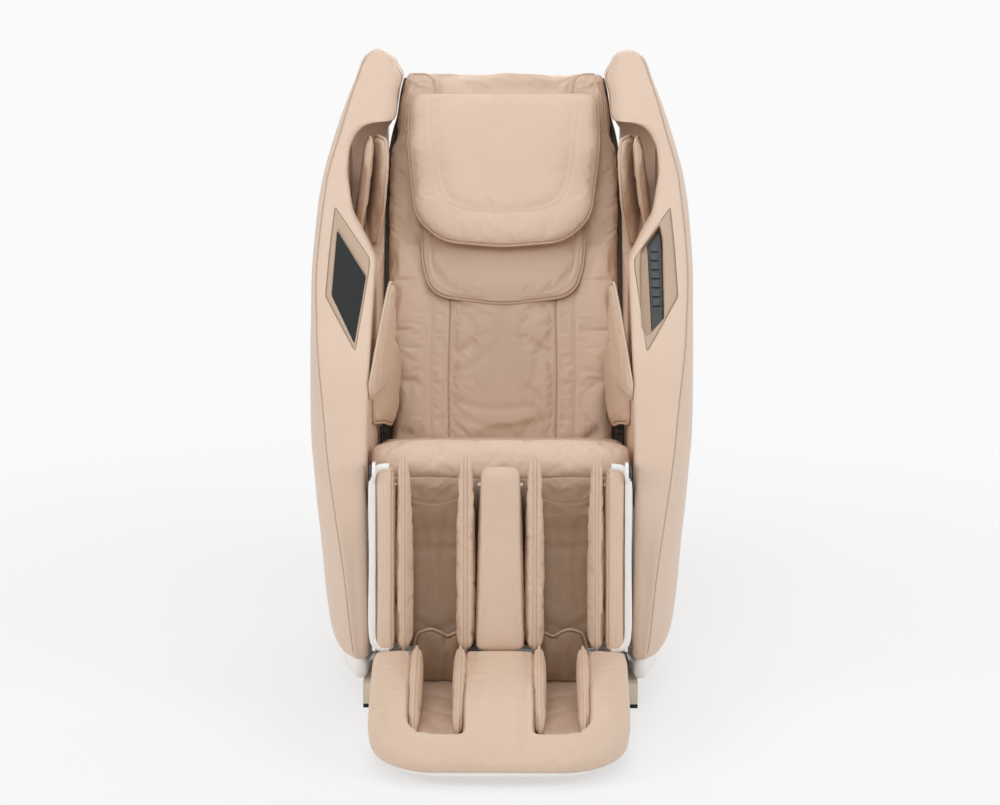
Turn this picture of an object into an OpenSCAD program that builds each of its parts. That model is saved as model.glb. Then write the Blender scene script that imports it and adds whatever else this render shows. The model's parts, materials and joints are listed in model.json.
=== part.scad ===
// Full-body massage chair. Millimetres, +Z up, the sitter faces -Y.
// The origin is on the floor, under the middle of the chair.

/* [Base] */
// Distance from the middle to the inner face of a floor runner
runner_x = 245; // [235:1:247]
// Width of a floor runner
runner_w = 19; // [16:1:24]
// Height of a floor runner's underside
runner_z = 18; // [14:1:20]
// Height of the runner tube
runner_h = 32; // [26:1:34]
// Front end of the runners
base_front = -308; // [-320:2:-296]
// Length of the runners
base_length = 732; // [700:4:760]
// Thickness of the rubber floor pads
pad_h = 8; // [5:1:12]
// Radius of the transport wheels
wheel_r = 38; // [30:1:42]
// Width of the transport wheels
wheel_w = 25; // [18:1:30]
// Radius of the wheels' stub axles
axle_r = 6; // [4:0.5:8]

/* [Seat unit] */
// Depth position of the tilt hinge
tilt_y = 190; // [180:1:200]
// Height of the tilt hinge
tilt_z = 240; // [234:1:246]
// Radius of the tilt pins
tilt_pin_r = 10; // [8:0.5:12]
// Distance from the middle to the inner face of a side plate
plate_x = 241; // [240.5:0.25:242]
// Thickness of the steel side plates
plate_t = 5; // [4:0.5:6]
// Distance from the middle to the side shells' inner walls
wall_x = 253; // [251:0.5:256]
// Half the width of the seat cushion
seat_half = 245; // [230:1:245]
// Front of the seat's roll
seat_front = -274; // [-278:1:-268]
// Height of the seat's front roll
seat_top = 499; // [490:1:506]
// Rise of the seat's middle above its sides
seat_crown = 6; // [2:1:12]

/* [Backrest] */
// Lean of the backrest from upright, at rest
back_lean = 32.4; // [30:0.2:34]
// Depth position of the recline hinge
recline_y = 207; // [203:1:211]
// Height of the recline hinge
recline_z = 370; // [366:1:374]
// Length of the backrest above its hinge
back_length = 856; // [830:2:870]
// Distance of the cushion's face in front of the hinge
face_depth = 70; // [66:1:72]
// Thickness of the back cushion
cushion_t = 54; // [45:1:58]
// Radius of the recline pins
recline_pin_r = 8; // [6:0.5:10]
// Depth of the rear shell behind the hinge
shell_depth = 122; // [118:1:128]
// Width of the head pillow
pillow_w = 412; // [380:2:416]
// Height of the head pillow
pillow_h = 364; // [330:2:370]
// Thickness of the head pillow
pillow_t = 50; // [40:1:55]
// Height of the pillow's upper edge along the backrest
pillow_top = 776; // [760:2:786]

/* [Massage mechanism] */
// Lowest position of the carriage along the backrest
carriage_low = 200; // [185:1:230]
// Radius of the massage rollers
roller_r = 34; // [28:1:35]
// Width of a massage roller
roller_w = 27; // [20:1:32]
// Height of the rollers' axles above and below the knead shaft
roller_reach = 62; // [56:1:68]
// Radius of the knead shaft
shaft_r = 9; // [7:0.5:11]
// Depth of the knead shaft behind the recline hinge
shaft_y = 46; // [45:1:48]
// Teeth on the worm wheel
worm_teeth = 24; // [16:1:30]
// Outer radius of the worm wheel
worm_r = 24; // [20:0.5:24]

/* [Leg rest] */
// Depth position of the knee hinge
knee_y = -316; // [-319:1:-313]
// Height of the knee hinge
knee_z = 470; // [466:1:474]
// Lean of the leg rest from upright, at rest
leg_lean = 11.2; // [10:0.2:13]
// Distance of the calf face in front of the knee hinge
calf_face = 15.5; // [14:0.5:17]
// Depth of the calf cushions behind the knee hinge
calf_depth = 84.5; // [80:0.5:88]
// Length of the calf unit below the knee hinge
calf_length = 334; // [326:1:338]
// Clearance between the leg rest and a side plate
leg_gap = 1; // [0.8:0.1:2]
// Thickness of the leg rest's side cheeks
cheek_t = 6; // [5:0.5:7]
// Half the width of the middle calf cushion
centre_half = 40; // [34:1:42]
// Distance from the middle to the inner fins' centre planes
inner_fin_x = 65; // [63:1:67]
// Distance from the middle to the outer fins' centre planes
outer_fin_x = 181.5; // [179:0.5:182]
// Thickness of an inner fin
inner_fin_t = 40; // [32:1:42]
// Thickness of an outer fin
outer_fin_t = 34; // [28:1:36]
// Radius of the knee pins
knee_pin_r = 8; // [6:0.5:9]
// Radius of the foot rest's slide rods
rod_r = 8; // [6:0.5:9]
// Distance from the middle to a slide rod
rod_x = 137; // [130:1:145]

/* [Foot rest] */
// Front of the toe end
toe_y = -713; // [-717:1:-705]
// Underside of the foot rest
foot_z = 22; // [20:1:26]
// Half the width of the foot cover
foot_half = 235.5; // [233:0.5:235.5]
// Distance from the middle to a foot well's centre
well_x = 114; // [110:1:117]
// Width of a foot well
well_w = 104; // [98:1:106]
// Height of the foot wells' floor
well_z = 50; // [46:1:54]
// Height of the foot cover at its instep
instep_z = 151; // [146:1:152]

/* [Arms] */
// Slope of the arm's control panel
panel_slope = 32.6; // [32:0.1:33.2]
// Thickness of the panels' bezels
bezel_t = 8; // [6:0.5:9]
// Depth of the remote's pocket below the arm's surface
pocket_depth = 30; // [28:0.5:32]
// Thickness of the remote control
remote_t = 19; // [16:0.5:20]
// Travel of a remote key
key_travel = 1; // [0.6:0.1:1.5]

/* [Actuators] */
// Radius of an actuator's tube
tube_r = 20; // [17:0.5:21]
// Radius of an actuator's rod
screw_r = 8; // [6:0.5:10]

/* [Fits] */
// Radial clearance of a turning or sliding fit
fit = 0.05; // [0.02:0.01:0.08]
// Gap between pieces that seat on each other
seat_gap = 0.3; // [0.2:0.05:0.5]

/* [Hidden] */
$fn = 48;
leather = "tan";
shell_white = "whitesmoke";
steel = "dimgray";

// ---- small helpers ----

function mix(a, b, t) = a + (b - a) * t;
function unit(v) = v / norm(v);
function total(v, i = 0) = i == len(v) ? 0 * v[0] : v[i] + total(v, i + 1);
function middle(p) = total(p) / len(p);

// Outline with each corner replaced by a curve that starts r from it
function soft_corners(p, r, n = 3) = [
  for (i = [0 : len(p) - 1])
    let (a = p[i], u = unit(p[(i + len(p) - 1) % len(p)] - a), v = unit(p[(i + 1) % len(p)] - a))
      for (k = [0 : n])
        let (t = k / n)
          (1 - t) * (1 - t) * (a + u * r) + 2 * t * (1 - t) * a + t * t * (a + v * r)
];

// Closed solid through rings of equal count, listed counterclockwise as seen from the last one
module skin(rings) {
  n = len(rings[0]);
  m = len(rings);
  points = concat([for (ring = rings) each ring], [middle(rings[0]), middle(rings[m - 1])]);
  walls = [
    for (i = [0 : m - 2], j = [0 : n - 1])
      let (a = i * n + j, b = i * n + (j + 1) % n)
        each [[a, b + n, b], [a, a + n, b + n]]
  ];
  low = [for (j = [0 : n - 1]) [m * n, j, (j + 1) % n]];
  high = [for (j = [0 : n - 1]) [m * n + 1, (m - 1) * n + (j + 1) % n, (m - 1) * n + j]];
  polyhedron(points = points, faces = concat(walls, low, high), convexity = 8);
}

// One ring of an outline, drawn in towards its middle and lifted
function lifted(outline, share, z) = [
  for (p = outline)
    let (c = middle(outline), q = c + (p - c) * share)
      [q[0], q[1], z]
];

// Pad with a pinched rim, crowned on both faces; its centre plane is z = 0
module leaf_pad(outline, t) {
  skin([
    lifted(outline, 0.35, -t * 0.5),
    lifted(outline, 0.72, -t * 0.45),
    lifted(outline, 0.94, -t * 0.26),
    lifted(outline, 1, 0),
    lifted(outline, 0.94, t * 0.26),
    lifted(outline, 0.72, t * 0.45),
    lifted(outline, 0.35, t * 0.5)
  ]);
}

// Pad with a flat underside on z = 0 and a crowned top
module crowned_pad(outline, t) {
  skin([
    lifted(outline, 0.97, 0),
    lifted(outline, 1, t * 0.22),
    lifted(outline, 0.98, t * 0.55),
    lifted(outline, 0.9, t * 0.85),
    lifted(outline, 0.66, t * 0.97),
    lifted(outline, 0.25, t)
  ]);
}

// Cushion between x0 and x1 with one side profile, its sides drawn in
module profile_cushion(profile, x0, x1) {
  steps = [[0, 0.9], [0.06, 0.97], [0.25, 0.995], [0.5, 1], [0.75, 0.995], [0.94, 0.97], [1, 0.9]];
  skin([
    for (s = steps)
      let (c = middle(profile))
        [for (p = profile) let (q = c + (p - c) * s[1]) [mix(x0, x1, s[0]), q[0], q[1]]]
  ]);
}

// Flat plate from x to x + t with its outline drawn in Y and Z
module side_plate(x, t) {
  translate([x, 0, 0])
    rotate([90, 0, 90])
      linear_extrude(t)
        children();
}

// Round bar along X
module cross_bar(x0, x1, y, z, r) {
  translate([x0, y, z])
    rotate([0, 90, 0])
      cylinder(r = r, h = x1 - x0);
}

// Box given by its low and high corners
module block(low, high) {
  translate(low)
    cube(high - low);
}

module on_side(side) {
  mirror([side < 0 ? 1 : 0, 0, 0])
    children();
}

module both_sides() {
  for (side = [-1, 1])
    on_side(side)
      children();
}

// Frames of the tilted units: +Z runs up along each of them
module in_back() {
  translate([0, recline_y, recline_z])
    rotate([-back_lean, 0, 0])
      children();
}

module in_leg() {
  translate([0, knee_y, knee_z])
    rotate([-leg_lean, 0, 0])
      children();
}

function from_back(y, z) = [
  recline_y + y * cos(back_lean) + z * sin(back_lean),
  recline_z - y * sin(back_lean) + z * cos(back_lean)
];
function from_leg(y, z) = [
  knee_y + y * cos(leg_lean) + z * sin(leg_lean),
  knee_z - y * sin(leg_lean) + z * cos(leg_lean)
];

// ---- base ----

runner_top = runner_z + runner_h;
base_back = base_front + base_length;
foot_length = 28;
rear_foot_y = base_back - 80;
cross_front = -200;
cross_mid = -60;
cross_post = 175;
cross_rear = base_back - 88;
cross_w = 28;
post_x = 226;
post_t = 6;
boss_r = tilt_pin_r + 8;
wheel_y = base_back - 16;
wheel_z = wheel_r + 4;
wheel_x = runner_x - 3 - wheel_w;
tilt_pivot_x = -60;
tilt_foot = [-186, 66];
tilt_head = [-186, 345];
lug_t = 5;
lug_gap = 12;
eye_r = 12;
eye_bore = 6;

module lug_pair(x, points, centre) {
  for (side = [-1, 1])
    side_plate(x + side * (lug_gap + lug_t / 2) - lug_t / 2, lug_t)
      difference() {
        union() {
          polygon(points);
          translate(centre)
            circle(r = eye_r + 1);
        }
        translate(centre)
          circle(r = eye_bore);
      }
}

module base_frame() {
  color(steel) {
    both_sides() {
      block([runner_x, base_front, runner_z], [runner_x + runner_w, base_back, runner_top]);
      for (y = [base_front, rear_foot_y])
        block([runner_x, y, pad_h], [runner_x + runner_w, y + foot_length, runner_z]);
      side_plate(post_x, post_t) {
        polygon([
          [cross_post - 20, runner_z + 2],
          [cross_post + cross_w + 20, runner_z + 2],
          [tilt_y + boss_r, tilt_z],
          [tilt_y - boss_r, tilt_z]
        ]);
        translate([tilt_y, tilt_z])
          circle(r = boss_r);
      }
      cross_bar(post_x, plate_x + plate_t + 0.6, tilt_y, tilt_z, tilt_pin_r);
      cross_bar(wheel_x - 5, runner_x + 2, wheel_y, wheel_z, axle_r);
      cross_bar(wheel_x - 5, wheel_x - 1, wheel_y, wheel_z, axle_r + 4);
    }
    for (y = [cross_front, cross_mid, cross_post, cross_rear])
      block([-runner_x - 1, y, runner_z + 2], [runner_x + 1, y + cross_w, runner_top - 2]);
    block([-132, cross_mid, runner_top - 2], [132, box_back - 4, runner_top]);
    lug_pair(
      tilt_pivot_x,
      [
        [tilt_foot[0] - 13, runner_top - 4],
        [tilt_foot[0] + 13, runner_top - 4],
        [tilt_foot[0] + 13, tilt_foot[1]],
        [tilt_foot[0] - 13, tilt_foot[1]]
      ],
      tilt_foot
    );
  }
}

module floor_pads() {
  color("black")
    both_sides()
      for (y = [base_front, rear_foot_y])
        block([runner_x, y, 0], [runner_x + runner_w, y + foot_length, pad_h]);
}

module wheel() {
  color("dimgray")
    translate([wheel_x, wheel_y, wheel_z])
      rotate([0, 90, 0])
        rotate_extrude()
          polygon([
            [axle_r + fit, 0],
            [axle_r + 8, 0],
            [axle_r + 10, 6],
            [wheel_r - 14, 6],
            [wheel_r - 12, 1],
            [wheel_r - 3, 1],
            [wheel_r, 5],
            [wheel_r, wheel_w - 5],
            [wheel_r - 3, wheel_w - 1],
            [wheel_r - 12, wheel_w - 1],
            [wheel_r - 14, wheel_w - 6],
            [axle_r + 10, wheel_w - 6],
            [axle_r + 8, wheel_w],
            [axle_r + fit, wheel_w]
          ]);
}

box_front = cross_post + cross_w + 4;
box_back = base_back - 8;
box_top = 130;
inlet_w = 28;
inlet_h = 20;
switch_x = 70;
switch_z = 92;
rocker_w = 20;
rocker_r = 8;
rocker_pin_r = 1.5;

module control_box() {
  color("dimgray")
    difference() {
      union() {
        block([-130, box_front, runner_top + seat_gap], [130, box_back, box_top]);
        block([-110, box_front + 12, box_top], [110, box_back - 20, box_top + 6]);
      }
      // mains inlet: a blind socket with its three pins left standing
      difference() {
        block([-inlet_w / 2, box_back - 16, 80], [inlet_w / 2, box_back + 1, 80 + inlet_h]);
        for (x = [-7, 0, 7])
          block([x - 1, box_back - 17, 86], [x + 1, box_back - 4, 90 + (x == 0 ? 6 : 0)]);
      }
      // recess and bearings of the power rocker
      block(
        [switch_x - rocker_w / 2 - 0.5, box_back - 11, switch_z - 12],
        [switch_x + rocker_w / 2 + 0.5, box_back + 1, switch_z + 12]
      );
      cross_bar(switch_x - rocker_w / 2 - 4, switch_x + rocker_w / 2 + 4, box_back - 2, switch_z,
                rocker_pin_r + fit);
      // cooling slots in both flanks
      for (y = [box_front + 24 : 14 : box_back - 30])
        for (side = [-1, 1])
          block([side * 130 - 4, y, 72], [side * 130 + 4, y + 5, 112]);
    }
}

module power_rocker() {
  color("black") {
    side_plate(switch_x - rocker_w / 2, rocker_w)
      translate([box_back - 2, switch_z])
        intersection() {
          circle(r = rocker_r);
          polygon([[-9, -9], [3.5, -9], [1.5, 0], [3.5, 9], [-9, 9]]);
        }
    cross_bar(switch_x - rocker_w / 2 - 3, switch_x + rocker_w / 2 + 3, box_back - 2, switch_z,
              rocker_pin_r);
  }
}

module air_pump() {
  color("silver") {
    block([24, -40, runner_top + seat_gap], [124, 120, 104]);
    for (x = [44, 74, 104])
      translate([x, -40, 80])
        rotate([90, 0, 0])
          cylinder(r = 6, h = 22);
    translate([74, 40, 104])
      cylinder(r = 34, h = 14);
  }
}

// ---- seat unit ----

hinge_boss_r = recline_pin_r + 10;
knee_boss_r = knee_pin_r + 8;
seat_back = recline_y - face_depth - 3;
cushion_low_front = seat_top - 75;
cushion_low_back = recline_z - 30;
front_bar = [-190, 395];
mid_bar = [-110, 372];
rear_bar = [100, 322];
recline_x = 70;
recline_lever = 100;
lever_angle = -60;
recline_head = [
  recline_y + recline_lever * cos(lever_angle),
  recline_z + recline_lever * sin(lever_angle)
];
recline_foot = [-110, recline_head[1]];
leg_foot = [110, 262];
leg_lug = [140, -100];
leg_head = from_leg(leg_lug[0], leg_lug[1]);

function cushion_low(y) = mix(cushion_low_front, cushion_low_back, (y + 235) / (seat_back + 235));

module seat_frame() {
  color(steel) {
    both_sides() {
      difference() {
        side_plate(plate_x, plate_t) {
          polygon([
            [-262, cushion_low(-262) - 12],
            [-235, cushion_low(-235) - 1],
            [seat_back, cushion_low(seat_back) - 1],
            [recline_y - 30, recline_z + 2],
            [recline_y, recline_z + hinge_boss_r],
            [recline_y + hinge_boss_r, recline_z],
            [tilt_y + boss_r, tilt_z],
            [tilt_y, tilt_z - boss_r],
            [60, 285],
            [-225, 385],
            [-262, 385],
            [knee_y + 10, knee_z - 62],
            [knee_y - knee_boss_r, knee_z - 8],
            [knee_y + 8, knee_z + 12],
            [knee_y + 17, knee_z - 18],
            [knee_y + 26, knee_z - 40]
          ]);
          translate([recline_y, recline_z])
            circle(r = hinge_boss_r);
          translate([tilt_y, tilt_z])
            circle(r = boss_r);
          translate([knee_y, knee_z])
            circle(r = knee_boss_r);
        }
        cross_bar(plate_x - 1, plate_x + plate_t + 1, recline_y, recline_z, recline_pin_r + fit);
        cross_bar(plate_x - 1, plate_x + plate_t + 1, tilt_y, tilt_z, tilt_pin_r + fit);
        cross_bar(plate_x - 1, plate_x + plate_t + 1, knee_y, knee_z, knee_pin_r + fit);
      }
      for (p = [[-180, 400], [-60, 350], [60, 320]])
        cross_bar(plate_x + plate_t - 1, wall_x - seat_gap, p[0], p[1], 12);
      // bracket beside the cushion, with the stop pin that the cushion's edge rests against
      side_plate(plate_x + plate_t - 0.5, 4)
        difference() {
          hull() {
            translate([154, 366])
              circle(r = 14);
            translate([98, 446])
              circle(r = 11);
          }
          translate([98, 446])
            circle(r = 4);
        }
      cross_bar(plate_x - 8, plate_x + plate_t + 1, 98, 446, 8);
    }
    cross_bar(-plate_x - 1, plate_x + 1, front_bar[0], front_bar[1], 15);
    cross_bar(-plate_x - 1, plate_x + 1, mid_bar[0], mid_bar[1], 12);
    cross_bar(-plate_x - 1, plate_x + 1, rear_bar[0], rear_bar[1], 15);
    side_plate(-plate_x - 1, 2 * plate_x + 2)
      polygon([
        [-240, cushion_low(-240) - seat_gap],
        [-240, cushion_low(-240) - seat_gap - 3],
        [seat_back - 6, cushion_low(seat_back - 6) - seat_gap - 3],
        [seat_back - 6, cushion_low(seat_back - 6) - seat_gap]
      ]);
    lug_pair(
      tilt_pivot_x,
      [
        [front_bar[0] - 8, front_bar[1]],
        [tilt_head[0] - 13, tilt_head[1]],
        [tilt_head[0] + 13, tilt_head[1]],
        [front_bar[0] + 12, front_bar[1]]
      ],
      tilt_head
    );
    lug_pair(
      recline_x,
      [
        [mid_bar[0] - 11, mid_bar[1]],
        [recline_foot[0] - 13, recline_foot[1]],
        [recline_foot[0] + 13, recline_foot[1]],
        [mid_bar[0] + 11, mid_bar[1]]
      ],
      recline_foot
    );
    lug_pair(
      0,
      [
        [rear_bar[0] - 12, rear_bar[1]],
        [leg_foot[0] - 13, leg_foot[1]],
        [leg_foot[0] + 13, leg_foot[1]],
        [rear_bar[0] + 14, rear_bar[1]]
      ],
      leg_foot
    );
  }
}

// Side profile of the seat cushion: front roll, sloping sagged top, hidden rear end
function seat_profile(rise) = [
  [-238, cushion_low(-238)],
  [seat_front + 12, cushion_low_front + 7],
  [seat_front + 1, cushion_low_front + 24],
  [seat_front + 1, seat_top - 28],
  [seat_front + 9, seat_top - 11 + rise * 0.5],
  [seat_front + 26, seat_top - 1 + rise],
  [seat_front + 52, seat_top - 1 + rise],
  [seat_front + 110, seat_top - 20 + rise],
  [-90, mix(seat_top, 405, 0.44) + rise],
  [0, mix(seat_top, 405, 0.66) + rise],
  [70, 426 + rise],
  [seat_back - 26, 414 + rise],
  [seat_back - 8, 404],
  [seat_back - 1, 388],
  [seat_back, 365],
  [seat_back - 2, cushion_low(seat_back - 2)],
  [0, cushion_low(0)],
  [-120, cushion_low(-120)]
];

module seat_cushion() {
  steps = [[-1, 0.93, 0], [-0.985, 0.975, 0.1], [-0.93, 1, 0.3], [-0.6, 1, 0.8], [-0.2, 1, 1],
           [0.2, 1, 1], [0.6, 1, 0.8], [0.93, 1, 0.3], [0.985, 0.975, 0.1], [1, 0.93, 0]];
  base = middle(seat_profile(0));
  color(leather)
    intersection() {
      skin([
        for (s = steps)
          [for (p = seat_profile(seat_crown * s[2]))
            [-s[0] * seat_half, base[0] + (p[0] - base[0]) * s[1], base[1] + (p[1] - base[1]) * s[1]]]
      ]);
      block([-300, -400, 300], [300, 300, 600]);
    }
}

// ---- arms ----

panel_y = 55;
panel_z = 793;

module on_panel(side) {
  on_side(side)
    translate([0, panel_y, panel_z])
      rotate([panel_slope, 0, 0])
        children();
}

function panel_front(z) = panel_y + (z - panel_z) / tan(panel_slope);

// Sizes of the side shell by height: front edge, rear edge, inner edge, recess, seam, outermost
front_rows = [
  [95, -297], [103, -305], [120, -311], [150, -317], [250, -330], [360, -333], [480, -303], [560, -248],
  [620, -197], [665, panel_front(665)], [893, panel_front(893)], [930, 272], [965, 328],
  [990, 362], [1005, 378], [1022, 397], [1080, 462], [1120, 505], [1150, 536], [1159, 546],
  [1167, 558], [1170, 566], [1172, 577]
];
rear_rows = [
  [95, 284], [103, 294], [120, 316], [150, 344], [250, 422], [360, 488], [480, 546], [600, 597],
  [793, 640], [950, 657], [1022, 652], [1100, 637], [1150, 623], [1159, 616], [1167, 606],
  [1170, 600], [1172, 591]
];
inner_rows = [
  [95, 259], [103, 254], [120, wall_x], [800, wall_x], [820, 264], [850, 285], [880, 306],
  [917, 316], [950, 323], [985, 321], [1005, 312], [1016, 304], [1024, 293], [1031, 272],
  [1036, 232], [1053, 226], [1080, 225], [1095, 222], [1112, 217], [1124, 220], [1137, 228],
  [1150, 235], [1159, 241], [1167, 253], [1170, 260], [1172, 266]
];
recess_rows = [
  [95, 259], [103, 254], [120, wall_x], [763, wall_x], [771, 323], [985, 324], [1005, 315],
  [1016, 307], [1024, 296], [1031, 275], [1036, 236], [1053, 231], [1080, 227], [1095, 223],
  [1112, 218], [1124, 221], [1137, 229], [1150, 235], [1159, 241], [1167, 253], [1170, 260],
  [1172, 266]
];
wall_rows = [
  [95, 259], [103, 254], [120, wall_x], [1000, wall_x], [1016, 243], [1031, 235], [1053, 231],
  [1080, 227], [1095, 223], [1112, 218], [1124, 221], [1137, 229], [1150, 235], [1159, 241],
  [1167, 253], [1170, 260], [1172, 266]
];
seam_rows = [
  [95, 279], [103, 281], [150, 286], [250, 294], [360, 307], [480, 325], [590, 341], [700, 360],
  [800, 370], [930, 364], [1022, 341], [1080, 325], [1112, 314], [1150, 300], [1159, 294],
  [1167, 283], [1170, 277], [1172, 270]
];
outer_rows = [
  [95, 326], [103, 336], [120, 343], [150, 348], [200, 354], [250, 358], [305, 363], [360, 369],
  [420, 374], [480, 380], [540, 383], [600, 384.5], [680, 386], [775, 390], [870, 387], [930, 379],
  [980, 366], [1022, 353], [1080, 332], [1112, 319], [1150, 305], [1159, 299], [1167, 287],
  [1170, 280], [1172, 273]
];
lip_rows = [[800, 60], [870, 60], [905, 45], [940, 28], [980, 18], [1172, 18]];
shell_levels = [
  95, 103, 120, 150, 200, 250, 305, 360, 420, 480, 540, 600, 665, 730, 763, 771, 800, 835, 870,
  893, 917, 950, 985, 1005, 1016, 1024, 1031, 1036, 1053, 1080, 1095, 1112, 1124, 1137, 1150,
  1159, 1167, 1170, 1172
];

function recess_back(z) =
  let (face = from_back(-face_depth, 0), slope = tan(back_lean))
    face[0] + (z - face[1]) * slope + 12;

function shell_ring(z) =
  let (
    f = lookup(z, front_rows),
    b = lookup(z, rear_rows),
    i = lookup(z, inner_rows),
    r = lookup(z, recess_rows),
    w = lookup(z, wall_rows),
    s = lookup(z, seam_rows),
    o = lookup(z, outer_rows),
    d = b - f,
    lip = min(lookup(z, lip_rows), d * 0.3),
    k = min(14, d * 0.2),
    e = min(9, (s - i) * 0.4),
    g = min(4, (s - i) * 0.2),
    deep = max(f + d * 0.5, min(recess_back(z), b - d * 0.3))
  )
    [
      [i, f + k * 0.8, z],
      [i + e * 0.28, f + k * 0.25, z],
      [i + e, f, z],
      [mix(i + e, s - g, 0.5), f, z],
      [s - g, f, z],
      [s, f + 3, z],
      [mix(s, o, 0.45), mix(f, b, 0.07), z],
      [mix(s, o, 0.8), mix(f, b, 0.2), z],
      [o, mix(f, b, 0.42), z],
      [o - (o - w) * 0.04, mix(f, b, 0.66), z],
      [o - (o - w) * 0.16, mix(f, b, 0.86), z],
      [o - (o - w) * 0.36, mix(f, b, 0.97), z],
      [mix(w, o, 0.45), b, z],
      [mix(w, o, 0.16), b - k * 0.2, z],
      [w, b - k, z],
      [w, deep + min(1, d * 0.05), z],
      [r, deep, z],
      [r, mix(f + lip, deep, 0.5), z],
      [r, f + lip, z],
      [i, f + lip * 0.6 + k * 0.4, z]
    ];

bezel_outline = soft_corners(
  [[264, -6], [281, -238], [347, -84], [346, 50], [342, 181], [264, 26]], 9, 3
);
screen_outline = soft_corners([[275, -97], [284, -213], [334, -80], [333, 106], [270, -28]], 6, 3);
slot_outline = soft_corners(
  [[271, -172], [284, -190], [317, -143], [322, 84], [318, 124], [278, 51]], 5, 3
);
recess_depth = bezel_t - 1.5;

module panel_cut(top, depth) {
  translate([0, 0, -depth])
    linear_extrude(depth + top)
      children();
}

module side_shell(side) {
  color(leather)
    difference() {
      on_side(side)
        skin([for (z = shell_levels) shell_ring(z)]);
      on_panel(side) {
        panel_cut(12, recess_depth + seat_gap)
          offset(delta = 0.4)
            polygon(bezel_outline);
        if (side > 0)
          panel_cut(0, pocket_depth + seat_gap)
            offset(delta = 2.8)
              polygon(slot_outline);
      }
    }
}

// White skirt under a side shell, drawn in towards the floor
module side_skirts() {
  levels = [
    // height, front, rear, inner, seam, outermost
    [54, -289, 190, 260, 277, 295],
    [62, -294, 215, 257, 280, 303],
    [80, -298, 255, 257, 280, 315],
    [95 - seat_gap, -295, 282, 260, 278, 322]
  ];
  color(shell_white)
    both_sides()
      skin([
        for (v = levels)
          let (z = v[0], f = v[1], b = v[2], i = v[3], s = v[4], o = v[5])
            [
              [i, f + 10, z],
              [i + 6, f, z],
              [s - 4, f, z],
              [s, f + 3, z],
              [mix(s, o, 0.6), mix(f, b, 0.08), z],
              [o, mix(f, b, 0.3), z],
              [o, mix(f, b, 0.65), z],
              [mix(i, o, 0.8), mix(f, b, 0.93), z],
              [mix(i, o, 0.45), b, z],
              [i, b - 8, z]
            ]
      ]);
}

module left_bezel() {
  color("rosybrown")
    on_panel(-1)
      translate([0, 0, -recess_depth])
        linear_extrude(bezel_t)
          difference() {
            polygon(bezel_outline);
            polygon(screen_outline);
          }
}

module touch_panel() {
  color("black")
    on_panel(-1)
      translate([0, 0, -recess_depth])
        linear_extrude(bezel_t - 1)
          offset(delta = -0.3)
            polygon(screen_outline);
}

module right_bezel() {
  color("rosybrown")
    on_panel(1)
      translate([0, 0, -recess_depth])
        linear_extrude(bezel_t)
          difference() {
            polygon(bezel_outline);
            polygon(slot_outline);
          }
}

remote_left = 291;
remote_floor = -pocket_depth + 2;
remote_outline = soft_corners(
  [[remote_left + 1, -176], [314.5, -141], [319.5, 84], [316.5, 114], [remote_left + 1, 74]], 5, 3
);
key_w = 17;
key_l = 18;
key_x = 305;
key_pitch = 26;
key_count = 7;
key_seat = remote_floor + remote_t - 4 - key_travel;
key_y = [for (i = [0 : key_count - 1]) 64 - i * key_pitch];

module remote_pocket() {
  color("tan")
    on_panel(1)
      difference() {
        translate([0, 0, -pocket_depth])
          linear_extrude(pocket_depth - recess_depth - seat_gap)
            offset(delta = 2.4)
              polygon(slot_outline);
        translate([0, 0, remote_floor])
          linear_extrude(pocket_depth)
            intersection() {
              polygon(slot_outline);
              translate([remote_left, -250])
                square([60, 500]);
            }
      }
  // the cheek that holds the remote against the slot's outer wall
  color("tan")
    on_panel(1)
      translate([0, 0, -recess_depth - 0.4])
        linear_extrude(recess_depth - 1.6)
          intersection() {
            offset(delta = -0.3)
              polygon(slot_outline);
            translate([remote_left - 40, -250])
              square([40, 500 - 206]);
          }
}

module remote_control() {
  color("black")
    on_panel(1)
      difference() {
        translate([0, 0, remote_floor + seat_gap])
          linear_extrude(remote_t)
            offset(delta = -0.3)
              polygon(remote_outline);
        for (y = key_y)
          translate([key_x - key_w / 2 - 0.3, y - key_l / 2 - 0.3, key_seat])
            cube([key_w + 0.6, key_l + 0.6, 20]);
      }
}

module remote_key(index) {
  top = remote_floor + seat_gap + remote_t;
  color("slategray")
    on_panel(1)
      translate([key_x, key_y[index], top - 4])
        intersection() {
          linear_extrude(6)
            polygon(soft_corners([
              [-key_w / 2, -key_l / 2],
              [key_w / 2, -key_l / 2],
              [key_w / 2, key_l / 2],
              [-key_w / 2, key_l / 2]
            ], 3, 2));
          translate([0, 60, -34])
            rotate([90, 0, 0])
              cylinder(r = 40, h = 120, $fn = 96);
        }
}

// Leaf pad that stands in the Y-Z plane at x
module wall_leaf(x, outline, t) {
  translate([x, 0, 0])
    rotate([90, 0, 90])
      leaf_pad(outline, t);
}

// Outline of a shoulder pad from its free front edge; its rear edge follows the back of the recess
shoulder_y = 340;
shoulder_low = 778;
shoulder_leaf = soft_corners([
  [34, shoulder_low], [recess_back(shoulder_low) - shoulder_y - 3, shoulder_low], [112, 900],
  [124, 985], [100, 1006], [22, 1006], [2, 960], [0, 870]
], 14, 2);
shoulder_pad_t = 15;

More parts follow.
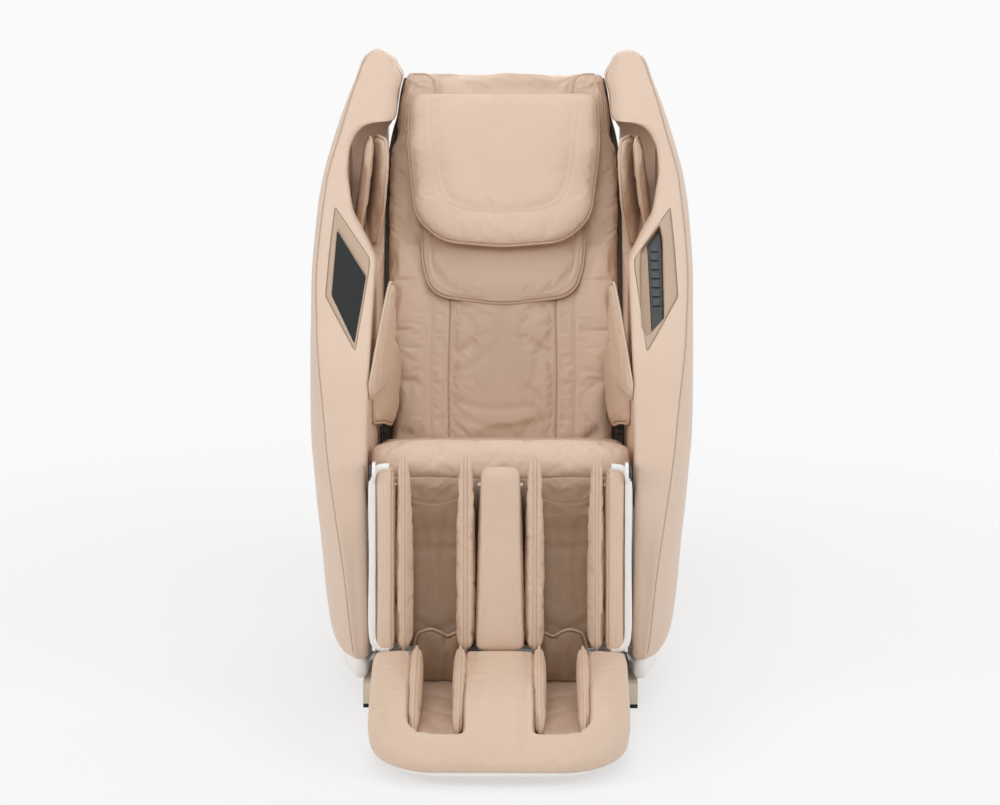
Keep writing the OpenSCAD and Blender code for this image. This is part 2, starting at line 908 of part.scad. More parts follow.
module shoulder_pads(side) {
  outline = [for (p = shoulder_leaf) [p[0], p[1] - shoulder_low]];
  color(leather)
    on_side(side) {
      translate([wall_x + 3, shoulder_y, shoulder_low])
        rotate([0, -5, -11])
          wall_leaf(0, outline, shoulder_pad_t);
      translate([304, shoulder_y, shoulder_low])
        rotate([0, -8, -3])
          wall_leaf(0, outline, shoulder_pad_t);
      // foam roots of the pads, seated on the back of the recess
      for (x = [258, 289])
        side_plate(x, 11)
          polygon([[415, 850], [recess_back(850) - seat_gap, 850], [recess_back(910) - seat_gap, 910],
                   [450, 910]]);
    }
}

// Arm pads: their front edges lie at the wall and they swing inward towards the rear
upper_arm_leaf = soft_corners([
  [0, 585], [184, 568], [240, 586], [284, 664], [302, 748], [254, 766], [200, 740], [100, 680], [0, 616]
], 14, 2);
lower_arm_leaf = soft_corners([
  [0, 512], [120, 484], [204, 457], [251, 467], [300, 518], [340, 571], [218, 645], [165, 604], [0, 570]
], 16, 2);
upper_arm = [wall_x - 3.2, -205, 6.2];
lower_arm = [wall_x - 2.8, -100, 6.6];
arm_pad_t = 14;

module arm_pads(side) {
  color(leather)
    on_side(side) {
      for (pad = [[upper_arm, upper_arm_leaf], [lower_arm, lower_arm_leaf]])
        translate([pad[0][0], pad[0][1], 0])
          rotate([0, 0, pad[0][2]])
            wall_leaf(0, pad[1], arm_pad_t);
      // foam feet of the pads, seated on the side wall
      side_plate(wall_x - 18, 18 - seat_gap)
        polygon([[-74, 641], [-19, 638], [-6, 666], [-21, 678], [-70, 650]]);
      side_plate(wall_x - 19, 19 - seat_gap)
        polygon([[2, 530], [58, 514], [62, 557], [6, 560]]);
    }
}

// ---- backrest ----

// Half-width of the backrest by height above its hinge
half_rows = [
  [-52, 216], [-30, 224], [0, 226], [60, 228], [140, 240], [250, 243], [640, 243], [668, 240],
  [700, 231], [760, 227], [822, 217], [842, 214], [851, 211], [856, 205]
];
face_rows = [[-52, 47], [-40, 57.5], [-20, 67], [0, 70], [820, 70], [840, 66], [851, 56], [856, 44]];
face_crown = 3;
seam_x = [109, 146];

function back_half(z) = lookup(z * 856 / back_length, half_rows);
function back_face(z) = lookup(z * 856 / back_length, face_rows) * face_depth / 70;

// Ring of the back cushion: two sewn channels a side under the pillow, soft side edges
function back_ring(z) =
  let (
    h = back_half(z),
    y = -back_face(z),
    c = z > 0 && z < 840 ? face_crown : 0,
    g = z > 20 && z < 500 ? 3.5 : 0,
    rear = -face_depth + cushion_t - (z < 0 || z > 850 ? 4 : 0),
    right = [
      [20, y - c],
      [seam_x[0] - 7, y - c * 0.8],
      [seam_x[0], y - c * 0.7 + g],
      [seam_x[0] + 7, y - c * 0.7],
      [seam_x[1] - 7, y - c * 0.5],
      [seam_x[1], y - c * 0.4 + g],
      [seam_x[1] + 7, y - c * 0.4],
      [h - 26, y],
      [h - 9, y + 5],
      [h, mix(y, rear, 0.42)],
      [h - 2, rear - 4],
      [h - 8, rear]
    ],
    n = len(right)
  )
    concat(
      [for (i = [n - 1 : -1 : 0]) [-right[i][0], right[i][1], z]],
      [for (p = right) [p[0], p[1], z]]
    );

module back_cushion() {
  levels = [-52, -40, -20, 0, 24, 60, 140, 250, 400, 520, 640, 668, 700, 770, 822, 842, 851, 856];
  color(leather)
    in_back()
      skin([for (z = levels) back_ring(z * back_length / 856)]);
}

// Depth of the rear shell's back by height above the hinge
shell_rows = [
  [24, 96], [34, 106], [90, 118], [160, 122], [625, 122], [700, 110], [780, 88], [826, 68],
  [848, 50], [854, 36]
];
shell_wall = 4;
shell_front = -face_depth + cushion_t + seat_gap;

function shell_back(z) = lookup(z * 856 / back_length, shell_rows) * shell_depth / 122;

function back_shell_ring(z, inset, front) =
  let (
    h = back_half(z) - 2 - inset,
    y = shell_back(z) - inset,
    right = [[h, front], [h, y * 0.45], [h - 8, y * 0.72], [h - 34, y * 0.93], [h - 90, y], [30, y]],
    n = len(right)
  )
    concat(
      [for (p = right) [p[0], p[1], z]],
      [for (i = [n - 1 : -1 : 0]) [-right[i][0], right[i][1], z]]
    );

module back_shell() {
  scale_z = back_length / 856;
  levels = [24, 34, 90, 160, 300, 460, 625, 700, 780, 826, 848, 854];
  inner = [20, 34, 90, 160, 300, 460, 625, 700, 780, 826, 846];
  color(shell_white)
    in_back()
      difference() {
        skin([for (z = levels) back_shell_ring(z * scale_z, 0, shell_front)]);
        skin([for (z = inner) back_shell_ring(z * scale_z, shell_wall, shell_front - 8)]);
      }
}

upright_x = 178;
upright_w = 24;
upright_low = -16;
cross_y0 = 38;
cross_y1 = 64;
low_cross = 66;
high_cross = back_length - 121;
rail_x = 138;
rail_depth = 22;
rail_y0 = 30;
rail_y1 = 60;
sheet = 3;

// Depth at which a post between two heights seats on the rear shell's inner face
function shell_seat(low, high) = min(shell_back(low), shell_back(high)) - shell_wall - seat_gap;

module back_frame() {
  top = back_length - 66;
  color(steel)
    in_back() {
      both_sides() {
        block([upright_x, 24, upright_low], [upright_x + upright_w, 50, top]);
        block([upright_x, shell_front, upright_low], [upright_x + upright_w, 30, 14]);
        // posts that carry the rear shell
        for (z = [low_cross + 2, high_cross + 2])
          block([90, cross_y1 - 1, z], [110, shell_seat(z, z + 20), z + 20]);
        cross_bar(upright_x + 10, plate_x - 2, 0, 0, 13);
        cross_bar(plate_x - 3, plate_x + plate_t + 0.6, 0, 0, recline_pin_r);
      }
      for (z = [low_cross, high_cross])
        block([-upright_x - 1, cross_y0, z], [upright_x + 1, cross_y1, z + 24]);
      block([-upright_x - 1, 26, top - 24], [upright_x + 1, 48, top]);
      // arm of the recline actuator, below the hinge
      rotate([back_lean, 0, 0])
        translate([0, -recline_y, -recline_z])
          lug_pair(
            recline_x,
            [
              from_back(-6, 8),
              from_back(10, -14),
              recline_head + [-13, 2],
              recline_head + [12, 5],
              from_back(44, 12)
            ],
            recline_head
          );
      block([-upright_x - 1, 26, -12], [upright_x + 1, 40, 12]);
    }
}

module guide_rails() {
  color("silver")
    in_back()
      both_sides()
        difference() {
          block([rail_x, rail_y0, low_cross + 24], [rail_x + rail_depth, rail_y1, high_cross]);
          block(
            [rail_x - 1, rail_y0 + sheet, low_cross + 20],
            [rail_x + rail_depth - sheet, rail_y1 - sheet, high_cross + 1]
          );
        }
}

module back_pad() {
  low = 305;
  outline = soft_corners([
    [-150, low + 14], [0, low - 6], [150, low + 14], [174, low + 90], [172, low + 190],
    [-172, low + 190], [-174, low + 90]
  ], 26, 2);
  color(leather)
    in_back()
      translate([0, -face_depth - face_crown - seat_gap, 0])
        rotate([90, 0, 0])
          crowned_pad(outline, 17);
}

pillow_tilt = 3.4;

module head_pillow() {
  half = pillow_w / 2;
  outline = soft_corners([
    [-half * 0.62, -pillow_h + 12],
    [0, -pillow_h],
    [half * 0.62, -pillow_h + 12],
    [half * 0.9, -pillow_h * 0.82],
    [half, -pillow_h * 0.36],
    [half * 0.99, 0],
    [-half * 0.99, 0],
    [-half, -pillow_h * 0.36],
    [-half * 0.9, -pillow_h * 0.82]
  ], 26, 2);
  color(leather)
    in_back()
      translate([0, -face_depth - face_crown - 2 * seat_gap, pillow_top])
        rotate([90 - pillow_tilt, 0, 0])
          crowned_pad(outline, pillow_t);
}

// ---- massage mechanism, on the carriage at its lowest stop ----

carriage_half = 76;
carriage_x = 112;
carriage_t = 6;
window_r = worm_r + 4;
arm_x = 57;
arm_t = 10;
ring_r = 18;
roller_y = shaft_y - 20;
stub_r = 5;

module in_carriage() {
  in_back()
    translate([0, 0, carriage_low])
      children();
}

module carriage_frame() {
  color("silver")
    in_carriage()
      difference() {
        union() {
          both_sides() {
            block([carriage_x, 30, -carriage_half], [carriage_x + carriage_t, 71, carriage_half]);
            for (z = [-carriage_half + 4, carriage_half - 26])
              block([carriage_x + carriage_t - 1, 40, z], [rail_x + 2, 50, z + 22]);
            for (z = [-carriage_half, carriage_half - 30])
              block(
                [rail_x + 1, rail_y0 + sheet + seat_gap, z],
                [rail_x + rail_depth - sheet - seat_gap, rail_y1 - sheet - seat_gap, z + 30]
              );
          }
          block([-carriage_x - 1, 68, -carriage_half], [carriage_x + 1, 71, carriage_half]);
        }
        block([-14, 60, -window_r], [14, 80, window_r]);
        cross_bar(-carriage_x - 10, carriage_x + 10, shaft_y, 0, shaft_r + fit);
      }
}

module knead_motor() {
  color("dimgray")
    in_carriage() {
      difference() {
        block([-30, 71 + seat_gap, -34], [30, 92, 34]);
        block([-12, 70, -20], [12, 78, 20]);
      }
      translate([0, 94, -44])
        cylinder(r = 21, h = 88);
      translate([0, 94, 44])
        cylinder(r = 8, h = 6);
    }
}

module knead_shaft() {
  color("silver")
    in_carriage() {
      cross_bar(-carriage_x - 8, carriage_x + 8, shaft_y, 0, shaft_r);
      // worm wheel: straight teeth round a disc
      side_plate(-9, 18)
        translate([shaft_y, 0])
          polygon([
            for (i = [0 : worm_teeth - 1], k = [0 : 3])
              let (a = (i + [0, 0.22, 0.5, 0.72][k]) * 360 / worm_teeth, r = k < 2 ? worm_r : worm_r - 3)
                [r * cos(a), r * sin(a)]
          ]);
      // collars that keep the arms in place
      both_sides() {
        cross_bar(arm_x - 6, arm_x - 0.4, shaft_y, 0, shaft_r + 5);
        cross_bar(arm_x + arm_t + 0.4, arm_x + arm_t + 6, shaft_y, 0, shaft_r + 5);
      }
    }
}

module massage_arm(side) {
  color("dimgray")
    in_carriage()
      on_side(side) {
        difference() {
          side_plate(arm_x, arm_t) {
            translate([shaft_y, 0])
              circle(r = ring_r);
            for (s = [-1, 1]) {
              polygon([
                [shaft_y + 8, 0],
                [shaft_y + 6, s * 16],
                [roller_y + 9, s * (roller_reach + 4)],
                [roller_y - 9, s * (roller_reach - 2)],
                [shaft_y - 17, s * 6]
              ]);
              translate([roller_y, s * roller_reach])
                circle(r = 10);
            }
          }
          cross_bar(arm_x - 1, arm_x + arm_t + 1, shaft_y, 0, shaft_r + fit);
        }
        for (s = [-1, 1]) {
          cross_bar(arm_x + arm_t - 1, arm_x + arm_t + roller_w + 5, roller_y, s * roller_reach, stub_r);
          cross_bar(arm_x + arm_t + roller_w + 1.5, arm_x + arm_t + roller_w + 5, roller_y,
                    s * roller_reach, stub_r + 3);
        }
      }
}

module massage_roller(side, level) {
  color("lightgray")
    in_carriage()
      on_side(side)
        translate([arm_x + arm_t + 0.5, roller_y, level * roller_reach])
          rotate([0, 90, 0])
            rotate_extrude()
              polygon([
                [stub_r + fit, 0],
                [roller_r - 12, 0],
                [roller_r - 4, roller_w * 0.14],
                [roller_r - 1, roller_w * 0.3],
                [roller_r, roller_w * 0.5],
                [roller_r - 1, roller_w * 0.7],
                [roller_r - 4, roller_w * 0.86],
                [roller_r - 12, roller_w],
                [stub_r + fit, roller_w]
              ]);
}

// ---- leg rest ----

leg_half = plate_x - leg_gap;

calf_back = calf_depth + 0.5;
plate_back = calf_back + 10;
bushing_y = plate_back + 16;
block_x = outer_fin_x + outer_fin_t / 2 + seat_gap;

module calf_housing() {
  color(shell_white)
    in_leg() {
      both_sides() {
        side_plate(leg_half - cheek_t, cheek_t) {
          polygon([
            [-calf_face + 3, -calf_length],
            [plate_back, -calf_length],
            [plate_back, -104],
            [32, -20],
            [0, 10],
            [-calf_face + 3, 5]
          ]);
          circle(r = 22);
        }
        cross_bar(leg_half - 1, plate_x + plate_t + 0.6, 0, 0, knee_pin_r);
        difference() {
          block(
            [rod_x - 13, plate_back - 1, -calf_length],
            [rod_x + 13, bushing_y + 15, -calf_length + 174]
          );
          translate([rod_x, bushing_y, -calf_length - 1])
            cylinder(r = rod_r + fit, h = 180);
        }
      }
      side_plate(-leg_half + 1, 2 * leg_half - 2)
        polygon([
          [21, -24.5],
          [calf_back, -calf_depth - 19.5],
          [calf_back, -calf_length],
          [plate_back, -calf_length],
          [plate_back, -104],
          [32, -20]
        ]);
      lug_pair(0, [[plate_back - 2, -160], [leg_lug[0] + 6, leg_lug[1] - 12],
                   [leg_lug[0] - 4, leg_lug[1] + 12], [plate_back - 2, -106]], leg_lug);
    }
}

block_profile = soft_corners([
  [-calf_face, -calf_length],
  [calf_depth, -calf_length],
  [calf_depth, -calf_depth - 21.5],
  [19, -26],
  [14, 9],
  [-calf_face + 9, 15],
  [-calf_face, -4]
], 7, 2);

module calf_block(x0, x1) {
  color(leather)
    in_leg()
      profile_cushion(block_profile, x0, x1);
}

fin_outline = soft_corners([
  [-calf_face + 1, -calf_length + 8],
  [-calf_face + 12, -calf_length],
  [60, -calf_length + 2],
  [60, -130],
  [27.4, -50],
  [12, 8],
  [-3, 36],
  [-calf_face, 14]
], 5, 1);
channel_low = inner_fin_x - 20;
channel_high = outer_fin_x + 17;
channel_front = 62;

module calf_fins() {
  color(leather)
    in_leg()
      both_sides() {
        wall_leaf(inner_fin_x, fin_outline, inner_fin_t);
        wall_leaf(outer_fin_x, fin_outline, outer_fin_t);
      }
}

module calf_pads() {
  outline = soft_corners([
    [channel_low, -calf_length + 1],
    [channel_high, -calf_length + 1],
    [channel_high, -110],
    [channel_low, -110]
  ], 12, 2);
  roll_low = inner_fin_x + inner_fin_t / 2 + 4;
  roll_high = outer_fin_x - outer_fin_t / 2 - 4;
  color(leather)
    in_leg()
      both_sides() {
        translate([0, calf_depth, 0])
          rotate([90, 0, 0])
            crowned_pad(outline, calf_depth - channel_front);
        // padded band across the top of the channel
        side_plate(roll_low, roll_high - roll_low)
          hull() {
            translate([-2, -20])
              circle(r = 14, $fn = 28);
            translate([34, -58])
              circle(r = 10, $fn = 28);
            translate([58, -94])
              circle(r = 9, $fn = 28);
          }
      }
}

// ---- foot rest ----

heel_y = -308;
heel_wall = -320;
tray_t = 5.5;
cover_z = foot_z + tray_t + seat_gap;
bar_back = -262;
bar_top = 108;
rod_low = -calf_length - 91;
rod_high = -150;

// Front and rear of the foot cover by height
toe_rows = [
  [cover_z, toe_y + 15], [34, toe_y + 2], [42, toe_y + 3], [70, toe_y + 25], [100, toe_y + 75],
  [128, toe_y + 145], [145, toe_y + 235], [instep_z - 2, toe_y + 275], [instep_z, toe_y + 292]
];
heel_rows = [
  [cover_z, heel_y - 2], [34, heel_y], [108, heel_y], [114, heel_y - 8], [140, knee_y - 86],
  [instep_z, knee_y - 92]
];

toe_r = 82;

// Rounded corner of the toe end, from the front to the side
function toe_arc(h, f, r) = [
  for (a = [0 : 15 : 90])
    [h - r * (1 - sin(a)), f + r * 0.85 * (1 - cos(a)) - 0.3 * cos(a)]
];

function foot_ring(z) =
  let (
    f = lookup(z, toe_rows),
    b = lookup(z, heel_rows),
    h = foot_half - (z < 30 ? 6 : z > instep_z - 3 ? 5 : 0),
    arc = toe_arc(h, f, min(toe_r, (b - f) * 0.6))
  )
    concat(
      [[-40, f - 0.6, z], [40, f - 0.6, z]],
      [for (p = arc) [p[0], p[1], z]],
      [[h, b, z], [0, b, z], [-h, b, z]],
      [for (i = [len(arc) - 1 : -1 : 0]) [-arc[i][0], arc[i][1], z]]
    );

function well_corners(half, inset, heel) = [
  [-half, toe_y + 48 + inset], [half * 0.6, toe_y + 55 + inset], [half, toe_y + 76 + inset],
  [half, heel], [-half, heel]
];

module well_outline() {
  half = well_w / 2;
  translate([well_x, 0])
    polygon(soft_corners(well_corners(half, 0, heel_wall), 14, 3));
}

module foot_cover() {
  levels = [cover_z, 34, 42, 56, 70, 85, 100, 114, 128, 140, instep_z - 2, instep_z];
  color(leather)
    difference() {
      skin([for (z = levels) foot_ring(z)]);
      both_sides()
        translate([0, 0, well_z])
          linear_extrude(200)
            well_outline();
    }
}

tray_arc = toe_arc(foot_half + 3, toe_y + 10, toe_r);

module foot_housing() {
  cheek = [[toe_y + 110, foot_z], [bar_back, foot_z], [bar_back, 92], [heel_y - 60, 112],
           [toe_y + 190, 96], [toe_y + 120, 50]];
  color(shell_white)
    difference() {
      union() {
        translate([0, 0, foot_z])
          linear_extrude(tray_t)
            polygon(concat(
              [for (p = tray_arc) p],
              [[foot_half + 3, bar_back], [-foot_half - 3, bar_back]],
              [for (i = [len(tray_arc) - 1 : -1 : 0]) [-tray_arc[i][0], tray_arc[i][1]]]
            ));
        both_sides()
          side_plate(foot_half + seat_gap, 3 - seat_gap)
            polygon(cheek);
        block([-foot_half - 1, heel_y + seat_gap, foot_z], [foot_half + 1, bar_back, bar_top]);
      }
      in_leg()
        both_sides()
          translate([rod_x, bushing_y, rod_low])
            cylinder(r = rod_r + fit, h = 300);
    }
}

module slide_rods() {
  color("silver")
    in_leg()
      both_sides()
        translate([rod_x, bushing_y, rod_low])
          cylinder(r = rod_r, h = rod_high - rod_low);
}

module sole_pads() {
  half = well_w / 2 - 3;
  outline = soft_corners(well_corners(half, 5, heel_wall - 4), 14, 2);
  color(leather)
    both_sides()
      translate([well_x, 0, well_z + seat_gap])
        crowned_pad(outline, 11);
}

foot_fin_t = 22;
foot_fin_outline = soft_corners([
  [toe_y + 72, 76], [toe_y + 100, 64], [heel_wall - 86, 64], [heel_wall - 86, 156],
  [toe_y + 285, 167], [toe_y + 200, 153], [toe_y + 96, 110]
], 8, 1);

module foot_fins() {
  edge = well_w / 2 - foot_fin_t / 2 - seat_gap;
  color(leather)
    both_sides()
      for (s = [-1, 1])
        wall_leaf(well_x + s * edge, foot_fin_outline, foot_fin_t);
}

// ---- actuators: a tube on its foot pin and a rod that reaches for its head pin ----

module along(x, foot, head) {
  translate([x, foot[0], foot[1]])
    rotate([atan2(head[1] - foot[1], head[0] - foot[0]), 0, 0])
      rotate([-90, 0, 0])
        children();
}

module actuator_eye(r) {
  rotate([0, 90, 0])
    translate([0, 0, -lug_gap + 1])
      cylinder(r = r, h = 2 * lug_gap - 2);
}

// The foot eye carries its own pin, which turns in the lugs
module actuator_tube(x, foot, head, length) {
  color("dimgray")
    along(x, foot, head)
      difference() {
        union() {
          translate([0, 0, 26])
            cylinder(r = tube_r, h = length - 26);
          translate([0, 0, 26])
            cylinder(r = tube_r + 2, h = 14);
          cylinder(r = 10, h = 28);
          actuator_eye(eye_r);
          translate([-lug_gap - lug_t, 0, 0])
            rotate([0, 90, 0])
              cylinder(r = eye_bore - fit, h = 2 * lug_gap + 2 * lug_t);
        }
        translate([0, 0, 34])
          cylinder(r = screw_r + fit, h = length);
      }
}

// The head eye stays clear of its lugs: this pivot is left open
module actuator_rod(x, foot, head, start) {
  reach = norm(head - foot);
  color("silver")
    along(x, foot, head) {
      translate([0, 0, start])
        cylinder(r = screw_r, h = reach - start);
      translate([0, 0, reach])
        actuator_eye(eye_r);
    }
}

// ---- all nodes ----

base_frame();
floor_pads();
on_side(-1) wheel();  // left_wheel
on_side(1) wheel();  // right_wheel
control_box();
air_pump();
power_rocker();
seat_frame();
seat_cushion();
side_shell(-1);  // left_side_shell
side_shell(1);  // right_side_shell
side_skirts();
left_bezel();
touch_panel();
right_bezel();
remote_pocket();
shoulder_pads(-1);  // left_shoulder_pads
shoulder_pads(1);  // right_shoulder_pads
arm_pads(-1);  // left_arm_pads
arm_pads(1);  // right_arm_pads
back_frame();
guide_rails();
back_shell();
back_cushion();
head_pillow();
back_pad();
carriage_frame();
knead_motor();
knead_shaft();
massage_arm(-1);  // left_massage_arm
massage_arm(1);  // right_massage_arm
massage_roller(-1, 1);  // left_upper_roller
massage_roller(-1, -1);  // left_lower_roller
massage_roller(1, 1);  // right_upper_roller
massage_roller(1, -1);  // right_lower_roller
calf_housing();
calf_block(-leg_half + cheek_t + 0.5, -block_x);  // calf_left_block
calf_block(-centre_half, centre_half);  // calf_centre_block
calf_block(block_x, leg_half - cheek_t - 0.5);  // calf_right_block
calf_pads();
calf_fins();
foot_housing();
foot_cover();
sole_pads();
foot_fins();
slide_rods();
actuator_tube(tilt_pivot_x, tilt_foot, tilt_head, 245);  // tilt_tube
actuator_rod(tilt_pivot_x, tilt_foot, tilt_head, 60);  // tilt_rod
actuator_tube(recline_x, recline_foot, recline_head, 240);  // recline_tube
actuator_rod(recline_x, recline_foot, recline_head, 110);  // recline_rod
actuator_tube(0, leg_foot, leg_head, 285);  // leg_tube
actuator_rod(0, leg_foot, leg_head, 50);  // leg_rod
remote_control();
remote_key(0);  // key_power
remote_key(1);  // key_program
remote_key(2);  // key_strength
remote_key(3);  // key_heat
remote_key(4);  // key_air
remote_key(5);  // key_up
remote_key(6);  // key_down
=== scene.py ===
"""Massage chair: covers, seams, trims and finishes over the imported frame.

Lengths are in millimetres until a form becomes an object, which is in metres.
+Z is up and the sitter faces -Y; left is -X.
"""
import json
import math

import bmesh
import bpy
import numpy as np
from mathutils import Matrix, Vector
from mathutils.bvhtree import BVHTree
from mathutils.kdtree import KDTree


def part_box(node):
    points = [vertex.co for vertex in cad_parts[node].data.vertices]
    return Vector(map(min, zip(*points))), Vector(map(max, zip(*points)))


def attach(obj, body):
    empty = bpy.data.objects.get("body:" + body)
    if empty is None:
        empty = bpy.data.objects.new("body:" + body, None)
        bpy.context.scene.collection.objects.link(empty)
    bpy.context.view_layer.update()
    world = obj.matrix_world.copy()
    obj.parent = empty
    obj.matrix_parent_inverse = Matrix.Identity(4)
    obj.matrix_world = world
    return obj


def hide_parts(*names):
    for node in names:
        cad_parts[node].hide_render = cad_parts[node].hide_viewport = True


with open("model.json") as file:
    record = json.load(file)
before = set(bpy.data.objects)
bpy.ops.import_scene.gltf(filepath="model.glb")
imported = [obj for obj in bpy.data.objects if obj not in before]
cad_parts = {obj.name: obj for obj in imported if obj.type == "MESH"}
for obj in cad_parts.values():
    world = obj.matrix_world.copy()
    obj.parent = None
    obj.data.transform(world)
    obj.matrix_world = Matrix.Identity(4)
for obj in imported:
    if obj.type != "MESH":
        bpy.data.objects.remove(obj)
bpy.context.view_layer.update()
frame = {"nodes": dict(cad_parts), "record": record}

MM = 0.001
NODES = frame["nodes"]
SCENE = bpy.context.scene
SCENE.view_settings.view_transform = "Standard"


def shown(name, data):
    """Object that shows its data in the scene."""
    thing = bpy.data.objects.new(name, data)
    SCENE.collection.objects.link(thing)
    return thing


# ---- camera ----

IMAGE_WIDTH = 1000
FOCAL_PIXELS = 2523
SENSOR = 36
camera_data = bpy.data.cameras.new("camera")
camera = shown("camera", camera_data)
SCENE.camera = camera
camera.location = (0.0407, -4.884, 1.7293)
camera.rotation_euler = (math.radians(90 - 13.8), 0, math.radians(0.473))
camera_data.sensor_width = SENSOR
camera_data.lens = FOCAL_PIXELS * SENSOR / IMAGE_WIDTH
camera_data.shift_x = -0.0019

# ---- places ----


def turn(x=0, y=0, z=0):
    """Turn in degrees about X, then Y, then Z."""
    a, b, c = (math.radians(v) for v in (x, y, z))
    return Matrix.Rotation(c, 4, "Z") @ Matrix.Rotation(b, 4, "Y") @ Matrix.Rotation(a, 4, "X")


def shift(x=0.0, y=0.0, z=0.0):
    return Matrix.Translation((x, y, z))


HERE = Matrix.Identity(4)
BACK = shift(0, 207, 370) @ turn(-32.4)
LEG = shift(0, -316, 470) @ turn(-11.2)
PANEL = shift(0, 55, 793) @ turn(32.6)
WALL = turn(90, 0, 90)
FRONT = turn(90)
MIRROR = Matrix.Diagonal((-1, 1, 1, 1))


def moved(points, matrix):
    """Points carried by a matrix."""
    m = np.array(matrix)
    return np.asarray(points, float) @ m[:3, :3].T + m[:3, 3]


# ---- curves and outlines ----


def rows(table):
    """Smooth function through (place, value) rows that never swings past them."""
    x, y = np.array(table, float).T
    h, d = np.diff(x), np.diff(y) / np.diff(x)
    m = np.zeros(len(x))
    m[0], m[-1] = d[0], d[-1]
    for i in range(1, len(h)):
        if d[i - 1] * d[i] > 0:
            a, b = 2 * h[i] + h[i - 1], h[i] + 2 * h[i - 1]
            m[i] = (a + b) / (a / d[i - 1] + b / d[i])

    def at(v):
        v = np.clip(v, x[0], x[-1])
        i = np.clip(np.searchsorted(x, v, side="right") - 1, 0, len(h) - 1)
        t = (v - x[i]) / h[i]
        keep, lean = 2 * t**3 - 3 * t**2 + 1, t**3 - 2 * t**2 + t
        return keep * y[i] + lean * h[i] * m[i] + (1 - keep) * y[i + 1] + (t**3 - t**2) * h[i] * m[i + 1]

    return at


def through(points, steps, closed=False):
    """Smooth curve through points, with steps to each span."""
    p = np.asarray(points, float)
    n = len(p)
    counts = steps if isinstance(steps, (list, tuple)) else [steps] * n
    out = []
    for i in range(n if closed else n - 1):
        b, c = p[i], p[(i + 1) % n]
        a = p[i - 1] if closed or i else 2 * b - c
        d = p[(i + 2) % n] if closed or i < n - 2 else 2 * c - b
        s, t, u = (max(np.linalg.norm(v), 1e-6) ** 0.5 for v in (b - a, c - b, d - c))
        m1 = t * ((b - a) / s - (c - a) / (s + t) + (c - b) / t)
        m2 = t * ((c - b) / t - (d - b) / (t + u) + (d - c) / u)
        for k in range(counts[i]):
            w = k / counts[i]
            keep = 2 * w**3 - 3 * w**2 + 1
            out.append(keep * b + (w**3 - 2 * w**2 + w) * m1 + (1 - keep) * c + (w**3 - w**2) * m2)
    if not closed:
        out.append(p[-1])
    return np.array(out)


def spaced(points, gap, closed=False):
    """The same line with its points a gap apart."""
    p = np.asarray(points, float)
    if closed:
        p = np.vstack([p, p[:1]])
    s = np.concatenate([[0], np.cumsum(np.linalg.norm(np.diff(p, axis=0), axis=1))])
    n = max(3, round(s[-1] / gap))
    at = np.linspace(0, s[-1], n + (not closed), endpoint=not closed)
    return np.stack([np.interp(at, s, p[:, k]) for k in range(p.shape[1])], 1)


def rounded(corners, radius, gap=4.0):
    """Closed outline with each corner replaced by a curve that starts a radius from it."""
    p = np.asarray(corners, float)
    out = []
    for i, a in enumerate(p):
        before, after = p[i - 1] - a, p[(i + 1) % len(p)] - a
        lead = a + before / np.linalg.norm(before) * radius
        tail = a + after / np.linalg.norm(after) * radius
        for t in np.linspace(0, 1, 9):
            out.append((1 - t) ** 2 * lead + 2 * t * (1 - t) * a + t * t * tail)
    return spaced(out, gap, closed=True)


def widened(outline, by):
    """Closed outline moved outwards, or inwards where by is negative."""
    p = np.asarray(outline, float)
    along = np.roll(p, -1, 0) - np.roll(p, 1, 0)
    along /= np.maximum(np.linalg.norm(along, axis=1, keepdims=True), 1e-9)
    x, y = p.T
    facing = np.sign((x * np.roll(y, -1) - y * np.roll(x, -1)).sum())
    return p + np.stack([along[:, 1], -along[:, 0]], 1) * by * facing


def lifted(outline, height):
    p = np.asarray(outline, float)
    return np.column_stack([p, np.full(len(p), float(height))])


# ---- forms ----


class Form:
    """Vertices in millimetres with their faces."""

    def __init__(self, points, faces):
        self.points, self.faces = np.asarray(points, float), faces

    def placed(self, matrix):
        return Form(moved(self.points, matrix), self.faces)

    def __add__(self, other):
        n = len(self.points)
        return Form(np.vstack([self.points, other.points]),
                    self.faces + [[i + n for i in f] for f in other.faces])

    def made(self, name):
        """Object in metres whose faces point outwards."""
        mesh = bpy.data.meshes.new(name)
        mesh.from_pydata((self.points * MM).tolist(), [], self.faces)
        sheet = bmesh.new()
        sheet.from_mesh(mesh)
        bmesh.ops.remove_doubles(sheet, verts=sheet.verts, dist=1e-6)
        bmesh.ops.recalc_face_normals(sheet, faces=sheet.faces)
        sheet.to_mesh(mesh)
        sheet.free()
        return shown(name, mesh)


def loft(rings, ends=True):
    """Skin through closed rings of equal count."""
    r = np.asarray(rings, float)
    m, n = r.shape[:2]
    faces = [[i * n + j, i * n + (j + 1) % n, (i + 1) * n + (j + 1) % n, (i + 1) * n + j]
             for i in range(m - 1) for j in range(n)]
    if ends:
        faces += [list(range(n))[::-1], list(range((m - 1) * n, m * n))]
    return Form(r.reshape(-1, 3), faces)


def depth_in(points, outline):
    """How far each point lies from a closed outline."""
    a, b = outline, np.roll(outline, -1, 0)
    span, to = b - a, points[:, None] - a
    share = np.clip((to * span).sum(2) / np.maximum((span**2).sum(1), 1e-9), 0, 1)
    return np.linalg.norm(to - share[..., None] * span, axis=2).min(1)


